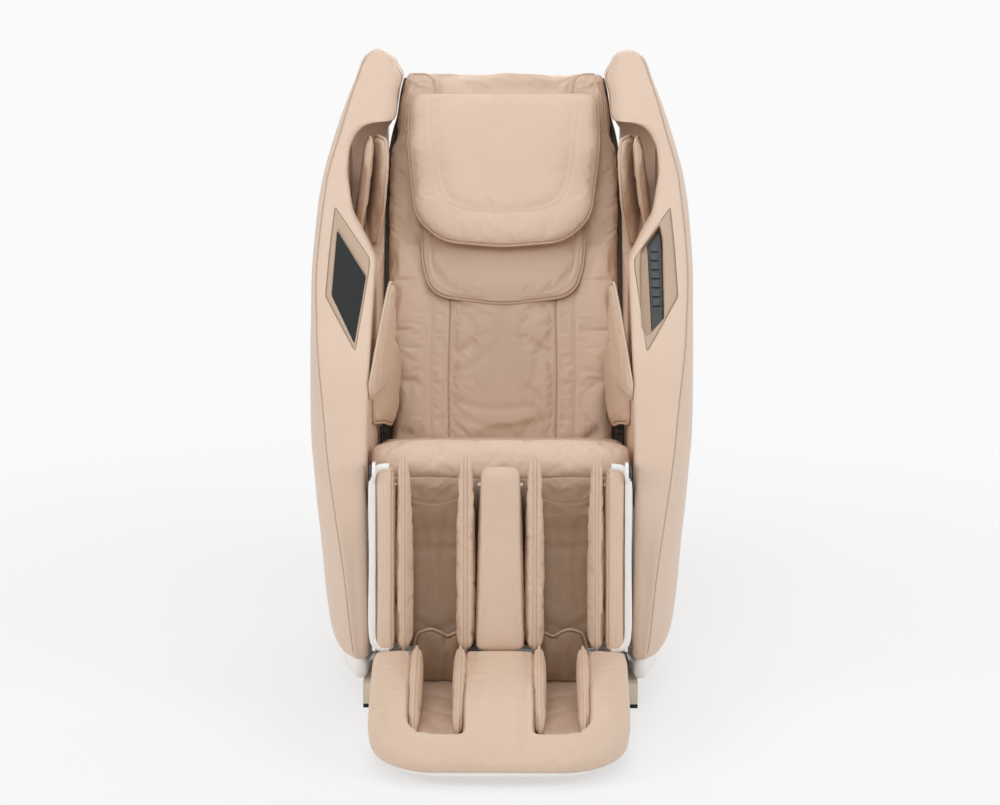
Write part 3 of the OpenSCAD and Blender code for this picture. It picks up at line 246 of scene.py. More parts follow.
def puff(outline, top, under, edge=30.0, crown=0.18):
    """Pad that rises from a pinched rim on z = 0, over an edge's width, to its top and its underside."""
    middle = outline.mean(0)

    def ring(share, thick):
        p = middle + (outline - middle) * share
        rise = (1 - (1 - np.minimum(depth_in(p, outline) / edge, 1)) ** 2.4) ** 0.5
        return np.column_stack([p, thick * ((1 - crown) * rise + crown * (1 - share**2))])

    shares = [0.12, 0.3, 0.48, 0.64, 0.76, 0.85, 0.91, 0.955, 0.985]
    low = [ring(s, -under) for s in shares]
    high = [ring(s, top) for s in shares[::-1]]
    return loft(low + [lifted(outline, 0)] + high)


def tube(path, radius, closed=False, sides=8):
    """Round piping along a path."""
    p = np.asarray(path, float)
    if closed:
        along = np.roll(p, -1, 0) - np.roll(p, 1, 0)
    else:
        along = np.gradient(p, axis=0)
    along /= np.maximum(np.linalg.norm(along, axis=1, keepdims=True), 1e-9)
    out = Vector(along[0]).orthogonal().normalized()
    rings = []
    for point, tangent in zip(p, along):
        t = Vector(tangent)
        out = (out - t * out.dot(t)).normalized()
        side = t.cross(out)
        rings.append([point + radius * (math.cos(a) * np.array(out) + math.sin(a) * np.array(side))
                      for a in np.arange(sides) * 2 * math.pi / sides])
    form = loft(rings, ends=not closed)
    if closed:
        # the last ring meets the first at the turn that the path has given it
        last, first = (len(p) - 1) * sides, np.array(rings[0])
        twist = int(np.argmin(np.linalg.norm(first - np.array(rings[-1][0]), axis=1)))
        form.faces += [[last + j, last + (j + 1) % sides, (twist + j + 1) % sides, (twist + j) % sides]
                       for j in range(sides)]
    return form


# ---- finishes ----


class Wire:
    """A socket that takes + - * / and powers, with numbers or with other wires."""

    def __init__(self, finish, socket):
        self.finish, self.socket = finish, socket

    def __add__(self, other): return self.finish.sum("ADD", self, other)
    def __radd__(self, other): return self.finish.sum("ADD", other, self)
    def __sub__(self, other): return self.finish.sum("SUBTRACT", self, other)
    def __rsub__(self, other): return self.finish.sum("SUBTRACT", other, self)
    def __mul__(self, other): return self.finish.sum("MULTIPLY", self, other)
    def __rmul__(self, other): return self.finish.sum("MULTIPLY", other, self)
    def __truediv__(self, other): return self.finish.sum("DIVIDE", self, other)
    def __pow__(self, other): return self.finish.sum("POWER", self, other)


class Finish:
    """A material whose surface shader is fed by wires."""

    def __init__(self, name, **constants):
        self.material = bpy.data.materials.new(name)
        self.material.use_nodes = True
        self.tree = self.material.node_tree
        self.shader = self.tree.nodes["Principled BSDF"]
        for socket, value in constants.items():
            self.shader.inputs[socket.replace("_", " ")].default_value = value
        self.place = self.node("ShaderNodeTexCoord")["Object"]

    def node(self, kind, settings=None, **inputs):
        """A node with its settings made, then its sockets filled; gives its outputs by name."""
        node = self.tree.nodes.new(kind)
        for key, value in (settings or {}).items():
            if key == "stops":
                for at, tone in value:
                    stop = node.color_ramp.elements.new(at)
                    stop.color = tone
                node.color_ramp.elements.remove(node.color_ramp.elements[0])
                node.color_ramp.elements.remove(node.color_ramp.elements[-1])
            else:
                setattr(node, key, value)
        for key, value in inputs.items():
            numbered = key[0] == "i" and key[1:].isdigit()
            self.fill(node.inputs[int(key[1:]) if numbered else key.replace("_", " ")], value)
        return {o.name: Wire(self, o) for o in node.outputs if o.enabled}

    def fill(self, socket, value):
        if isinstance(value, Wire):
            self.tree.links.new(value.socket, socket)
        else:
            socket.default_value = value

    def sum(self, operation, a, b):
        return self.node("ShaderNodeMath", {"operation": operation}, i0=a, i1=b)["Value"]

    def clear(self, value, low, high):
        """0 below low, 1 above high, smooth between."""
        kind = {"interpolation_type": "SMOOTHSTEP", "clamp": True}
        return self.node("ShaderNodeMapRange", kind, Value=value, From_Min=low, From_Max=high)["Result"]

    def blend(self, share, a, b):
        """Colour a where share is 0 and b where it is 1."""
        return self.node("ShaderNodeMix", {"data_type": "RGBA"}, i0=share, i6=a, i7=b)["Result"]

    def cloud(self, scale, detail=2.0, stretch=None):
        place = self.place
        if stretch:
            place = self.node("ShaderNodeMapping", Vector=place, Scale=stretch)["Vector"]
        return self.node("ShaderNodeTexNoise", Vector=place, Scale=scale, Detail=detail)["Fac"]

    def cells(self, scale, feature="F1"):
        return self.node("ShaderNodeTexVoronoi", {"feature": feature}, Vector=self.place,
                         Scale=scale)["Distance"]

    def surface(self, **inputs):
        for socket, value in inputs.items():
            self.fill(self.shader.inputs[socket.replace("_", " ")], value)
        return self

    def bumps(self, *layers):
        """Bump from (height, depth in metres, strength) layers, one on another."""
        normal = None
        for height, depth, strength in layers:
            extra = {"Normal": normal} if normal else {}
            normal = self.node("ShaderNodeBump", Height=height, Distance=depth, Strength=strength,
                               **extra)["Normal"]
        return self.surface(Normal=normal)


def tone(r, g, b):
    """Colour from display values of 0 to 255."""
    return tuple(v / 255 / 12.92 if v < 10 else ((v / 255 + 0.055) / 1.055) ** 2.4
                 for v in (r, g, b)) + (1.0,)


def leather(name, light, dark, painted_crease_shade, gloss=0.44):
    """Fine-grained leather: pebbled pores, hair folds, a mottled dyed colour, and painted shade in a darker
    seam tone along seams, folds and piped rims.
    """
    f = Finish(name, Coat_Weight=0.06, Coat_Roughness=0.35, Specular_IOR_Level=0.42)
    hide = f.cloud(5.5, 3)
    mottle = f.cloud(70, 3)
    pores = f.cells(760)
    crackle = f.cells(420, "DISTANCE_TO_EDGE")
    folds = f.cloud(24, 4, (1, 1, 0.45))
    pull_and_painted_shade = f.node("ShaderNodeAttribute", {"attribute_name": "pull_and_painted_shade"})["Fac"]
    dye_and_painted_shade = f.blend(hide * 0.62 + mottle * 0.38, dark, light)
    dye_and_painted_shade = f.blend(f.clear(pores, 0.55, 0.9) * 0.1, dye_and_painted_shade, dark)
    # painted shade: the darker seam tone laid over the colour where seams, folds and rims are pressed or
    # shaded
    dye_and_painted_shade = f.blend(f.clear(pull_and_painted_shade, 0.12, 0.95) * 0.55, dye_and_painted_shade, painted_crease_shade)
    f.surface(Base_Color=dye_and_painted_shade, Roughness=gloss + hide * 0.1 + pull_and_painted_shade * 0.08 - mottle * 0.05)
    f.bumps((folds, 0.0035, 0.22), (pores, 0.00035, 0.4), (f.clear(crackle, 0.0, 0.22), 0.0003, 0.3))
    return f.material


def moulded(name, colour, gloss=0.3, grain=0.25, coat=0.0):
    """Moulded plastic with a fine spark-eroded texture and a little flow marking."""
    f = Finish(name, Coat_Weight=coat, Coat_Roughness=0.08)
    flow, speck = f.cloud(9, 2), f.cloud(1400, 2)
    shade = tuple(v * 0.93 for v in colour[:3]) + (1.0,)
    f.surface(Base_Color=f.blend(flow * 0.7 + speck * 0.3, shade, colour),
              Roughness=gloss + flow * 0.06 + speck * 0.05)
    f.bumps((flow, 0.002, 0.03), (speck, 0.0002, grain))
    return f.material


def metal(name, colour, gloss=0.35, brushed=(1, 40, 1), painted=False):
    """Bare or powder-coated metal with a drawn grain and rubbed patches."""
    f = Finish(name)
    grain = f.cloud(60, 3, brushed)
    rub = f.cloud(14, 4)
    worn = f.clear(rub, 0.6, 0.78)
    bright = tuple(min(1, v * 1.25 + 0.03) for v in colour[:3]) + (1.0,)
    f.surface(Base_Color=f.blend(worn * 0.5, colour, bright), Roughness=gloss + grain * 0.12 - worn * 0.08,
              Metallic=worn * 0.35 + 0.1 if painted else 1.0 - worn * 0.05)
    f.bumps((grain, 0.0004, 0.25))
    return f.material


def rubber(name, colour):
    f = Finish(name, Specular_IOR_Level=0.35)
    dust, speck = f.cloud(30, 4), f.cloud(900, 2)
    grey = tuple(v * 1.9 + 0.015 for v in colour[:3]) + (1.0,)
    f.surface(Base_Color=f.blend(f.clear(dust, 0.45, 0.8) * 0.5, colour, grey),
              Roughness=0.72 + dust * 0.15)
    f.bumps((speck, 0.0004, 0.5))
    return f.material


def screen_glass(name):
    """Smoked glass with a faint greenish depth and the least finger haze."""
    f = Finish(name, Coat_Weight=0.05, Coat_Roughness=0.05, IOR=1.3, Specular_IOR_Level=0.25)
    haze, depth = f.cloud(22, 4), f.cloud(4, 1)
    f.surface(Base_Color=f.blend(depth, tone(8, 10, 10), tone(18, 23, 22)),
              Roughness=0.07 + f.clear(haze, 0.5, 0.9) * 0.12)
    f.bumps((haze, 0.0003, 0.02))
    return f.material


def satin_trim(name, colour):
    """Satin rose lacquer with a metal flake."""
    f = Finish(name, Coat_Weight=0.2, Coat_Roughness=0.25)
    flake, drift = f.cells(2600), f.cloud(12, 2)
    pale = tuple(min(1, v * 1.12) for v in colour[:3]) + (1.0,)
    f.surface(Base_Color=f.blend(f.clear(flake, 0.2, 0.6) * 0.5 + drift * 0.3, pale, colour),
              Roughness=0.33 + flake * 0.08,
              Metallic=0.25 + flake * 0.12)
    f.bumps((flake, 0.0001, 0.12))
    return f.material


LEATHER = leather("beige leather", tone(223, 198, 176), tone(209, 182, 160), tone(120, 92, 74))
PIPING = leather("leather piping", tone(219, 193, 171), tone(201, 175, 152), tone(132, 102, 84), 0.4)
SHELL_HIDE = leather("shell leather", tone(223, 198, 178), tone(210, 184, 163), tone(128, 98, 80), 0.4)
LINER = leather("liner leather", tone(184, 158, 133), tone(156, 129, 105), tone(90, 66, 50), 0.5)
THREAD = moulded("sewing thread", tone(236, 220, 204), 0.6, 0.8)
WHITE = moulded("white shell", tone(240, 237, 233), 0.22, 0.08, 0.4)
BLACK_PLASTIC = moulded("black plastic", tone(30, 30, 32), 0.42, 0.5)
KEY_PLASTIC = moulded("key plastic", tone(54, 58, 60), 0.5, 0.4)
DARK_PANEL = screen_glass("smoked glass")
ROSE = satin_trim("satin rose lacquer", tone(156, 133, 112))
STEEL = metal("powder-coated steel", tone(58, 58, 62), 0.48, painted=True)
BARE_STEEL = metal("bare steel", tone(178, 178, 180), 0.28)
ALLOY = metal("cast alloy", tone(150, 150, 152), 0.45, (8, 8, 8))
RUBBER = rubber("black rubber", tone(26, 26, 27))
ROLLER_RUBBER = rubber("roller rubber", tone(44, 42, 42))
CREAM_STEEL = metal("cream powder coat", tone(214, 200, 182), 0.5, (8, 8, 8), painted=True)
# real gusset fabric, coloured as dark as the shadow in the gaps beside the back cushion: painted shadow
SHADOW_DARK_GUSSET_CLOTH = leather("gusset cloth in painted shadow", tone(92, 76, 62), tone(70, 56, 45), tone(40, 30, 24), 0.6)


def dressed(piece, material, smooth=40):
    """Gives a piece its one material and its shading."""
    piece.data.materials.clear()
    piece.data.materials.append(material)
    piece.data.shade_smooth()
    if smooth < 180:
        piece.data.set_sharp_from_angle(angle=math.radians(smooth))
    return piece


def carried(piece, body, slot, *nodes, fill=None):
    """Rides a piece on its body and hides the nodes that it stands for; its slot is not used."""
    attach(piece, body)
    if nodes:
        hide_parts(*nodes)
    return piece


def baked(piece):
    """Turns a piece's modifiers into its own plain mesh."""
    graph = bpy.context.evaluated_depsgraph_get()
    mesh = bpy.data.meshes.new_from_object(piece.evaluated_get(graph))
    piece.modifiers.clear()
    old, piece.data = piece.data, mesh
    bpy.data.meshes.remove(old)
    return piece


def coords(piece):
    co = np.zeros(len(piece.data.vertices) * 3)
    piece.data.vertices.foreach_get("co", co)
    return co.reshape(-1, 3)


def set_coords(piece, co):
    piece.data.vertices.foreach_set("co", co.ravel())
    piece.data.update()


def normals(piece):
    out = np.zeros(len(piece.data.vertices) * 3)
    piece.data.vertex_normals.foreach_get("vector", out)
    return out.reshape(-1, 3)


def nearest(points):
    """Tree that finds the nearest of many points."""
    tree = KDTree(len(points))
    for i, point in enumerate(points):
        tree.insert(point, i)
    tree.balance()
    return tree


def cut(piece, *cutters):
    """Takes the cutters' volumes out of a piece."""
    for form in cutters:
        tool = form.made("cutter")
        m = piece.modifiers.new("cut", "BOOLEAN")
        before = len(piece.data.vertices)
        m.operation, m.solver, m.object = "DIFFERENCE", "MANIFOLD", tool
        if len(piece.evaluated_get(bpy.context.evaluated_depsgraph_get()).data.vertices) in (0, before):
            m.solver = "EXACT"
        baked(piece)
        bpy.data.objects.remove(tool)
    return piece


# ---- upholstery ----

PADS = []
SIM_FRAMES = 20
AIR_GAP = 0.12
RAY_REACH = 0.4

def pad(name, form, voxel=4.5, swell=4.0, cap=7.0, held=(), hold=5.0, slack=0.02):
    """Stuffed piece: a closed skin of even cells, listed for inflating with its seams held."""
    piece = form.made(name)
    m = piece.modifiers.new("cells", "REMESH")
    m.mode, m.voxel_size = "VOXEL", voxel * MM
    baked(piece)
    for _ in range(2):
        m = piece.modifiers.new("even", "SMOOTH")
        m.factor, m.iterations = 0.5, 2
    baked(piece)
    PADS.append((piece, swell, cap, [np.asarray(h, float) * MM for h in held], hold * MM, slack))
    return piece


def inflate():
    """Fills every listed pad with air under cloth, then gives it a finer skin."""
    starts = [coords(p[0]) for p in PADS]
    for (piece, swell, _, held, hold, slack), start in zip(PADS, starts):
        group = piece.vertex_groups.new(name="held")
        if held:
            tree = nearest(np.vstack(held))
            for i, point in enumerate(start):
                near = tree.find(point)[2]
                if near < hold * 1.8:
                    group.add([i], min(1.0, (1.8 - near / hold) / 0.8), "REPLACE")
        cloth = piece.modifiers.new("cloth", "CLOTH")
        s = cloth.settings
        s.quality, s.mass, s.air_damping = 4, 0.35, 4.0
        s.tension_stiffness = s.compression_stiffness = 18
        s.shear_stiffness, s.bending_stiffness = 6, 0.35
        s.tension_damping = s.compression_damping = 8
        s.use_pressure, s.uniform_pressure_force = True, swell
        s.shrink_min = -slack
        s.effector_weights.gravity = 0
        s.vertex_group_mass, s.pin_stiffness = "held", 1.0
        cloth.collision_settings.use_collision = False
        cloth.point_cache.frame_start, cloth.point_cache.frame_end = 1, SIM_FRAMES
    for step in range(1, SIM_FRAMES + 1):
        SCENE.frame_set(step)
    graph = bpy.context.evaluated_depsgraph_get()
    for (piece, _, cap, _, _, _), start in zip(PADS, starts):
        mesh = bpy.data.meshes.new_from_object(piece.evaluated_get(graph))
        piece.modifiers.clear()
        piece.vertex_groups.clear()
        old, piece.data = piece.data, mesh
        bpy.data.meshes.remove(old)
        step = coords(piece) - start
        far = np.linalg.norm(step, axis=1, keepdims=True)
        step *= np.minimum(1, cap * MM / np.maximum(far, 1e-9))
        set_coords(piece, start + step)
    SCENE.frame_set(1)
    for entry in PADS:
        m = entry[0].modifiers.new("finer", "SUBSURF")
        m.levels = m.render_levels = 1
        baked(entry[0])


class Seam:
    """Line that lies on a piece: points and outward normals, in metres."""

    def __init__(self, points, normals):
        self.points, self.normals = points, normals

    def beside(self, piece_tree, by):
        """The same line moved sideways over the surface."""
        along = np.gradient(self.points, axis=0)
        along /= np.maximum(np.linalg.norm(along, axis=1, keepdims=True), 1e-9)
        return drop(piece_tree, self.points + np.cross(self.normals, along) * by * MM, -self.normals)


def drop(tree, points, ways):
    """Drops points on a surface along their ways."""
    hits, faces = [], []
    for point, way in zip(points, ways):
        way = Vector(way).normalized()
        hit = tree.ray_cast(Vector(point) - way * AIR_GAP, way, RAY_REACH)
        if hit[0] is not None and hit[1].dot(way) < 0.2:
            hits.append(hit[0])
            faces.append(hit[1])
    return Seam(np.array(hits), np.array(faces)) if len(hits) > 3 else None


def surface(piece):
    return BVHTree.FromObject(piece, bpy.context.evaluated_depsgraph_get())


def lay(piece, matrix, points, way=(0, 1, 0), gap=2.0, smooth=True):
    """Lays a line, given in a frame's millimetres, on a piece along a way of that frame."""
    line = through(points, 12) if smooth else np.asarray(points, float)
    line = moved(spaced(line, gap), matrix) * MM
    ray = np.array(matrix)[:3, :3] @ np.array(way, float)
    return drop(surface(piece), line, [ray] * len(line))


def remember(piece, new_painted_shade):
    """Keeps the stronger of the old and new painted seam shade at each point, for the piece's finish."""
    kept = piece.data.attributes.get("pull_and_painted_shade") or piece.data.attributes.new("pull_and_painted_shade", "FLOAT", "POINT")
    old = np.zeros(len(new_painted_shade), np.float32)
    kept.data.foreach_get("value", old)
    kept.data.foreach_set("value", np.maximum(old, new_painted_shade).astype(np.float32))


def press(piece, seams, depth, width, painted_shade=1.0):
    """Pulls a piece in along seams and remembers how strongly, times the painted shade, for its finish to
    darken.
    """
    seams = [s for s in seams if s is not None]
    if not seams:
        return
    points = np.vstack([s.points for s in seams])
    facing = np.vstack([s.normals for s in seams])
    tree = nearest(points)
    co, out = coords(piece), normals(piece)
    pull_and_painted_shade = np.zeros(len(co))
    reach = width * MM * 2.2
    for i, point in enumerate(co):
        _, k, far = tree.find(point)
        if far < reach and out[i] @ facing[k] > 0.1:
            pull_and_painted_shade[i] = math.exp(-((far / (width * MM)) ** 2) * 1.6)
            co[i] -= facing[k] * (depth * MM * pull_and_painted_shade[i])
    set_coords(piece, co)
    remember(piece, pull_and_painted_shade * painted_shade)


# How each kind of sewn line looks: groove depth and width, rows of stitches beside it,
# piping radius and strength of the painted shade along the line
KINDS = {
    "seam": (2.0, 2.0, (-3.4, 3.4), 0, 1.0),
    "stitch": (0.7, 1.3, (0,), 0, 0.2),
    "double": (0.7, 1.3, (-1.9, 1.9), 0, 0.2),
    "piped": (2.2, 3.0, (5.2,), 2.3, 0.9),
    "fold": (2.6, 13.0, (), 0, 0.1),
}
THREADS, PIPES, LINES, RIMS = {}, {}, {}, []
RIM_PIPING = 3.0
PINCH_DEPTH, PINCH_WIDTH = 2.4, 5.0
# width and strength of the painted shade beside each piped rim
RIM_SHADE_WIDTH, RIM_SHADE_STRENGTH = 4.6, 0.95


def sewn(piece, body, *lines):
    """Lists lines to be sewn on a piece once it has its finer skin: (kind, matrix, points, way)."""
    LINES.setdefault(piece.name, (piece, body, []))[2].extend(lines)


def first_pull(piece, lines):
    """Pulls the coarse skin in along its lines, and gives their points to be held under the cloth."""
    held = []
    for kind, matrix, points, way in lines:
        if kind == "fold":
            continue
        seam = lay(piece, matrix, points, way)
        press(piece, [seam], 2.0 if kind in ("seam", "piped") else 1.2, 5, 0)
        if seam:
            held.append(seam.points * 1000)
    return held


def cushion(name, body, form, lines=(), rims=(), node=None, fill=0.7, material=None, **air):
    """Padded piece with its sewn lines and piped rims, on its body."""
    piece = pad(name, form, **air)
    entry = PADS.pop()
    held = first_pull(piece, lines) + [np.asarray(r, float) for r in rims]
    PADS.append(entry[:3] + ([h * MM for h in held],) + entry[4:])
    sewn(piece, body, *lines)
    for rim in rims:
        PIPES.setdefault(body, []).append((np.asarray(rim, float) * MM, RIM_PIPING, True))
        RIMS.append((piece, np.asarray(rim, float) * MM))
    CUSHIONS.append((piece, body, node, fill, material or LEATHER))
    return piece


def shade(piece, points, width, painted_shade):
    """Paints shade along a line: a darker band that the piece's finish lays in its darker seam tone."""
    tree = nearest(points)
    far = np.array([tree.find(point)[2] for point in coords(piece)]) / (width * MM)
    remember(piece, painted_shade * np.exp(-(far**2)))


def pinch(piece, points, depth, width):
    """Draws a piece in beside its rim, so that the piping stands proud."""
    tree = nearest(points)
    co, out = coords(piece), normals(piece)
    far = np.array([tree.find(point)[2] for point in co]) / (width * MM)
    set_coords(piece, co - out * (depth * MM * np.exp(-(far**2)))[:, None])


def sew_all():
    """Presses, pipes and stitches every listed line on the finished skins."""
    for piece, rim in RIMS:
        pinch(piece, rim, PINCH_DEPTH, PINCH_WIDTH)
        # painted shade: a darker band beside each piped rim
        shade(piece, rim, RIM_SHADE_WIDTH, RIM_SHADE_STRENGTH)
    for piece, body, lines in LINES.values():
        for kind in KINDS:
            depth, width, stitch_rows, piping, painted_shade = KINDS[kind]
            seams = [lay(piece, m, points, way) for k, m, points, way in lines if k == kind]
            seams = [s for s in seams if s]
            press(piece, seams, depth, width, painted_shade)
            tree = surface(piece)
            for seam in seams:
                settled = drop(tree, seam.points, -seam.normals)
                if settled is None:
                    continue
                if piping:
                    path = settled.points + settled.normals * piping * 0.0006
                    PIPES.setdefault(body, []).append((path, piping, False))
                for by in stitch_rows:
                    row = settled.beside(tree, by)
                    if row:
                        THREADS.setdefault(body, []).append(row)


CUSHIONS = []

# ---- side shells ----

PANEL_SLOPE = math.tan(math.radians(32.6))


def panel_edge(z):
    return 55 + (z - 793) / PANEL_SLOPE


FRONT_ROWS = rows([
    (95, -297), (103, -305), (120, -311), (150, -317), (250, -330), (360, -333), (480, -303), (560, -248),
    (620, -197), (665, panel_edge(665)), (672, panel_edge(672)), (886, panel_edge(886)),
    (893, panel_edge(893)), (930, 272), (965, 328), (990, 362), (1005, 378), (1022, 397), (1080, 462),
    (1120, 505), (1150, 536), (1159, 546), (1167, 558), (1170, 566), (1172, 577)])
REAR_ROWS = rows([
    (95, 284), (103, 294), (120, 316), (150, 344), (250, 422), (360, 488), (480, 546), (600, 597),
    (793, 640), (950, 657), (1022, 652), (1100, 637), (1150, 623), (1159, 616), (1167, 606), (1170, 600),
    (1172, 591)])
TOP_WALL = [(1053, 231), (1080, 227), (1095, 223), (1112, 218), (1124, 221), (1137, 229), (1150, 235),
            (1159, 241), (1167, 253), (1170, 260), (1172, 266)]
INNER_ROWS = rows([
    (95, 259), (103, 254), (120, 253), (800, 253), (820, 264), (850, 285), (880, 306), (917, 316),
    (950, 323), (985, 321), (1005, 312), (1016, 304), (1024, 293), (1031, 272), (1036, 232), (1053, 226),
    (1080, 225), (1095, 222), (1112, 217), (1124, 220), (1137, 228)] + TOP_WALL[6:])
RECESS_ROWS = rows([
    (95, 259), (103, 254), (120, 253), (763, 253), (771, 323), (985, 324), (1005, 315), (1016, 307),
    (1024, 296), (1031, 275), (1036, 236)] + TOP_WALL)
WALL_ROWS = rows([(95, 259), (103, 254), (120, 253), (1000, 253), (1016, 243), (1031, 235)] + TOP_WALL)
SEAM_ROWS = rows([
    (95, 279), (103, 281), (150, 286), (250, 294), (360, 307), (480, 325), (590, 341), (700, 360),
    (800, 370), (930, 364), (1022, 341), (1080, 325), (1112, 314), (1150, 300), (1159, 294), (1167, 283),
    (1170, 277), (1172, 270)])
OUTER_ROWS = rows([
    (95, 326), (103, 336), (120, 343), (150, 348), (200, 354), (250, 358), (305, 363), (360, 369),
    (420, 374), (480, 380), (540, 383), (600, 384.5), (680, 386), (775, 390), (870, 387), (930, 379),
    (980, 366), (1022, 353), (1080, 332), (1112, 319), (1150, 305), (1159, 299), (1167, 287), (1170, 280),
    (1172, 273)])
LIP_ROWS = rows([(800, 60), (870, 60), (905, 45), (940, 28), (980, 18), (1172, 18)])
SHELL_LEVELS = [95, 103, 120, 150, 250, 360, 480, 600, 665, 763, 771, 800, 835, 870, 893, 917, 950, 985,
                1005, 1016, 1024, 1031, 1036, 1053, 1080, 1095, 1112, 1124, 1137, 1150, 1159, 1167, 1170,
                1172]


def shell_ring(z):
    """Ring of the right-hand side shell at a height: soft front and outside, sharp recess inside."""
    f, b, i, r = FRONT_ROWS(z), REAR_ROWS(z), INNER_ROWS(z), RECESS_ROWS(z)
    w, s, o = WALL_ROWS(z), SEAM_ROWS(z), OUTER_ROWS(z)
    d = b - f
    lip, k = min(LIP_ROWS(z), d * 0.3), min(14, d * 0.2)
    lobe = min(1.0, max(0.0, (z - 985) / 50))
    e, g = min(9 + 38 * lobe, (s - i) * 0.45), min(4, (s - i) * 0.2)
    n = min(14 + 34 * lobe, d * 0.28)
    recess_back = 207 - 70 * 0.8443 + (z - 370 - 70 * 0.5358) * 0.6346 + 12
    deep = max(f + d * 0.5, min(recess_back, b - d * 0.3))
    soft = through([
        (i, f + lip * 0.6 + n * 0.4), (i, f + n * 0.8), (i + e * 0.28, f + n * 0.25), (i + e, f),
        (i + e + (s - g - i - e) / 2, f), (s - g, f), (s, f + 3), (s + (o - s) * 0.45, f + d * 0.07),
        (s + (o - s) * 0.8, f + d * 0.2), (o, f + d * 0.42), (o - (o - w) * 0.04, f + d * 0.66),
        (o - (o - w) * 0.16, f + d * 0.86), (o - (o - w) * 0.36, f + d * 0.97), (w + (o - w) * 0.45, b),
        (w + (o - w) * 0.16, b - k * 0.2), (w, b - k)],
        [3, 3, 4, 5, 5, 3, 8, 10, 14, 12, 12, 8, 5, 4, 3])
    corners = [(w, b - k), (w, deep + min(1, d * 0.05)), (r, deep), (r, f + max(lip, n)),
               (i, f + lip * 0.6 + n * 0.4)]
    straight = [np.linspace(corners[n], corners[n + 1], c, endpoint=False)
                for n, c in enumerate((7, 6, 12, 4))]
    return lifted(np.vstack([soft[:-1]] + straight), z)


def levels(stops, gap):
    out = [np.linspace(a, b, max(1, math.ceil((b - a) / gap)), endpoint=False)
           for a, b in zip(stops, stops[1:])]
    return np.concatenate(out + [[stops[-1]]])


def prism(outline, low, high):
    return loft([lifted(outline, low), lifted(outline, high)])


BEZEL = rounded([(264, -6), (281, -238), (347, -84), (346, 50), (342, 181), (264, 26)], 9, 2)
SCREEN = rounded([(275, -97), (284, -213), (334, -80), (333, 106), (270, -28)], 6, 2)
SLOT = rounded([(271, -172), (284, -190), (317, -143), (322, 84), (318, 124), (278, 51)], 5, 2)
RECESS = 6.8
SHELL_FORM = loft([shell_ring(z) for z in levels(SHELL_LEVELS, 9)])
SEAM_HEIGHTS = np.arange(106, 1160, 2.0)
SHELL_SEAM = np.column_stack([SEAM_ROWS(SEAM_HEIGHTS), FRONT_ROWS(SEAM_HEIGHTS) + 3, SEAM_HEIGHTS])

for side, word in ((1, "right"), (-1, "left")):
    hand = HERE if side > 0 else MIRROR
    cuts = [prism(widened(BEZEL, 0.4), -RECESS, 12).placed(hand @ PANEL)]
    if side > 0:
        cuts.append(prism(widened(SLOT, 2.8), -30.3, 0).placed(PANEL))
    shell = SHELL_FORM.placed(hand).made(word + "_shell_cover")
    out = (moved(SHELL_SEAM, hand) - moved(SHELL_SEAM + (-0.45, 0.9, 0), hand))
    press(shell, [Seam(moved(SHELL_SEAM, hand) * MM, out)], 1.9, 3.4)
    cut(shell, *cuts)
    tree = surface(shell)
    for by in (-4.0, 4.0):
        row = drop(tree, moved(SHELL_SEAM, hand)[3:] * MM + np.array([by * MM * side, 0, 0]),
                   [(0, 1, 0)] * (len(SHELL_SEAM) - 3))
        THREADS.setdefault("chassis", []).append(row)
    dressed(shell, SHELL_HIDE, 32)
    carried(shell, "chassis", "beige_leather", word + "_side_shell")


def spokes(outline, centre, angles):
    """Points where rays from a centre meet an outline."""
    p = outline - centre
    a, r = np.arctan2(p[:, 1], p[:, 0]), np.hypot(p[:, 0], p[:, 1])
    order = np.argsort(a)
    length = np.interp(angles, a[order], r[order], period=2 * math.pi)
    return centre + np.column_stack([np.cos(angles), np.sin(angles)]) * length[:, None]


BEZEL_SECTION = [(0, -6.5), (0, -0.4), (0.03, 0.5), (0.09, 1.2), (0.2, 1.5), (0.55, 1.5), (0.8, 1.1),
                 (0.93, 0.3), (1, -0.9), (1, -6.5)]
for side, word, opening in ((-1, "left", SCREEN), (1, "right", SLOT)):
    centre = np.array([306.0, -35.0])
    corner_angles = [np.arctan2(*(q - centre).T[::-1]) for q in (BEZEL, opening)]
    angles = np.unique(np.concatenate(corner_angles).round(4))
    outer, inner = spokes(BEZEL, centre, angles), spokes(opening, centre, angles)
    rings = [lifted(outer + (inner - outer) * share, z) for share, z in BEZEL_SECTION]
    hand = HERE if side > 0 else MIRROR
    rim = loft(rings + rings[:1], ends=False).placed(hand @ PANEL).made(word + "_bezel_rim")
    dressed(rim, ROSE, 50)
    carried(rim, "chassis", "rose_trim", word + "_bezel")

# ---- skirts and rear shell ----

SKIRT_COLUMNS = [rows([(54, a), (62, b), (80, c), (94.7, d)]) for a, b, c, d in (
    (-289, -294, -298, -295), (190, 215, 255, 282), (260, 257, 257, 260), (277, 280, 280, 278),
    (295, 303, 315, 322))]


def skirt_ring(z):
    f, b, i, s, o = (column(z) for column in SKIRT_COLUMNS)
    return lifted(through([
        (i, f + 10), (i + 6, f), (s - 4, f), (s, f + 3), (s + (o - s) * 0.6, f + (b - f) * 0.08),
        (o, f + (b - f) * 0.3), (o, f + (b - f) * 0.65), (i + (o - i) * 0.8, f + (b - f) * 0.93),
        (i + (o - i) * 0.45, b), (i, b - 8)], 6, closed=True), z)


skirt = loft([skirt_ring(z) for z in levels([54, 62, 80, 94.7], 4)])
skirts = dressed((skirt + skirt.placed(MIRROR)).made("skirt_mouldings"), WHITE, 35)
carried(skirts, "chassis", "white_shell", "side_skirts")

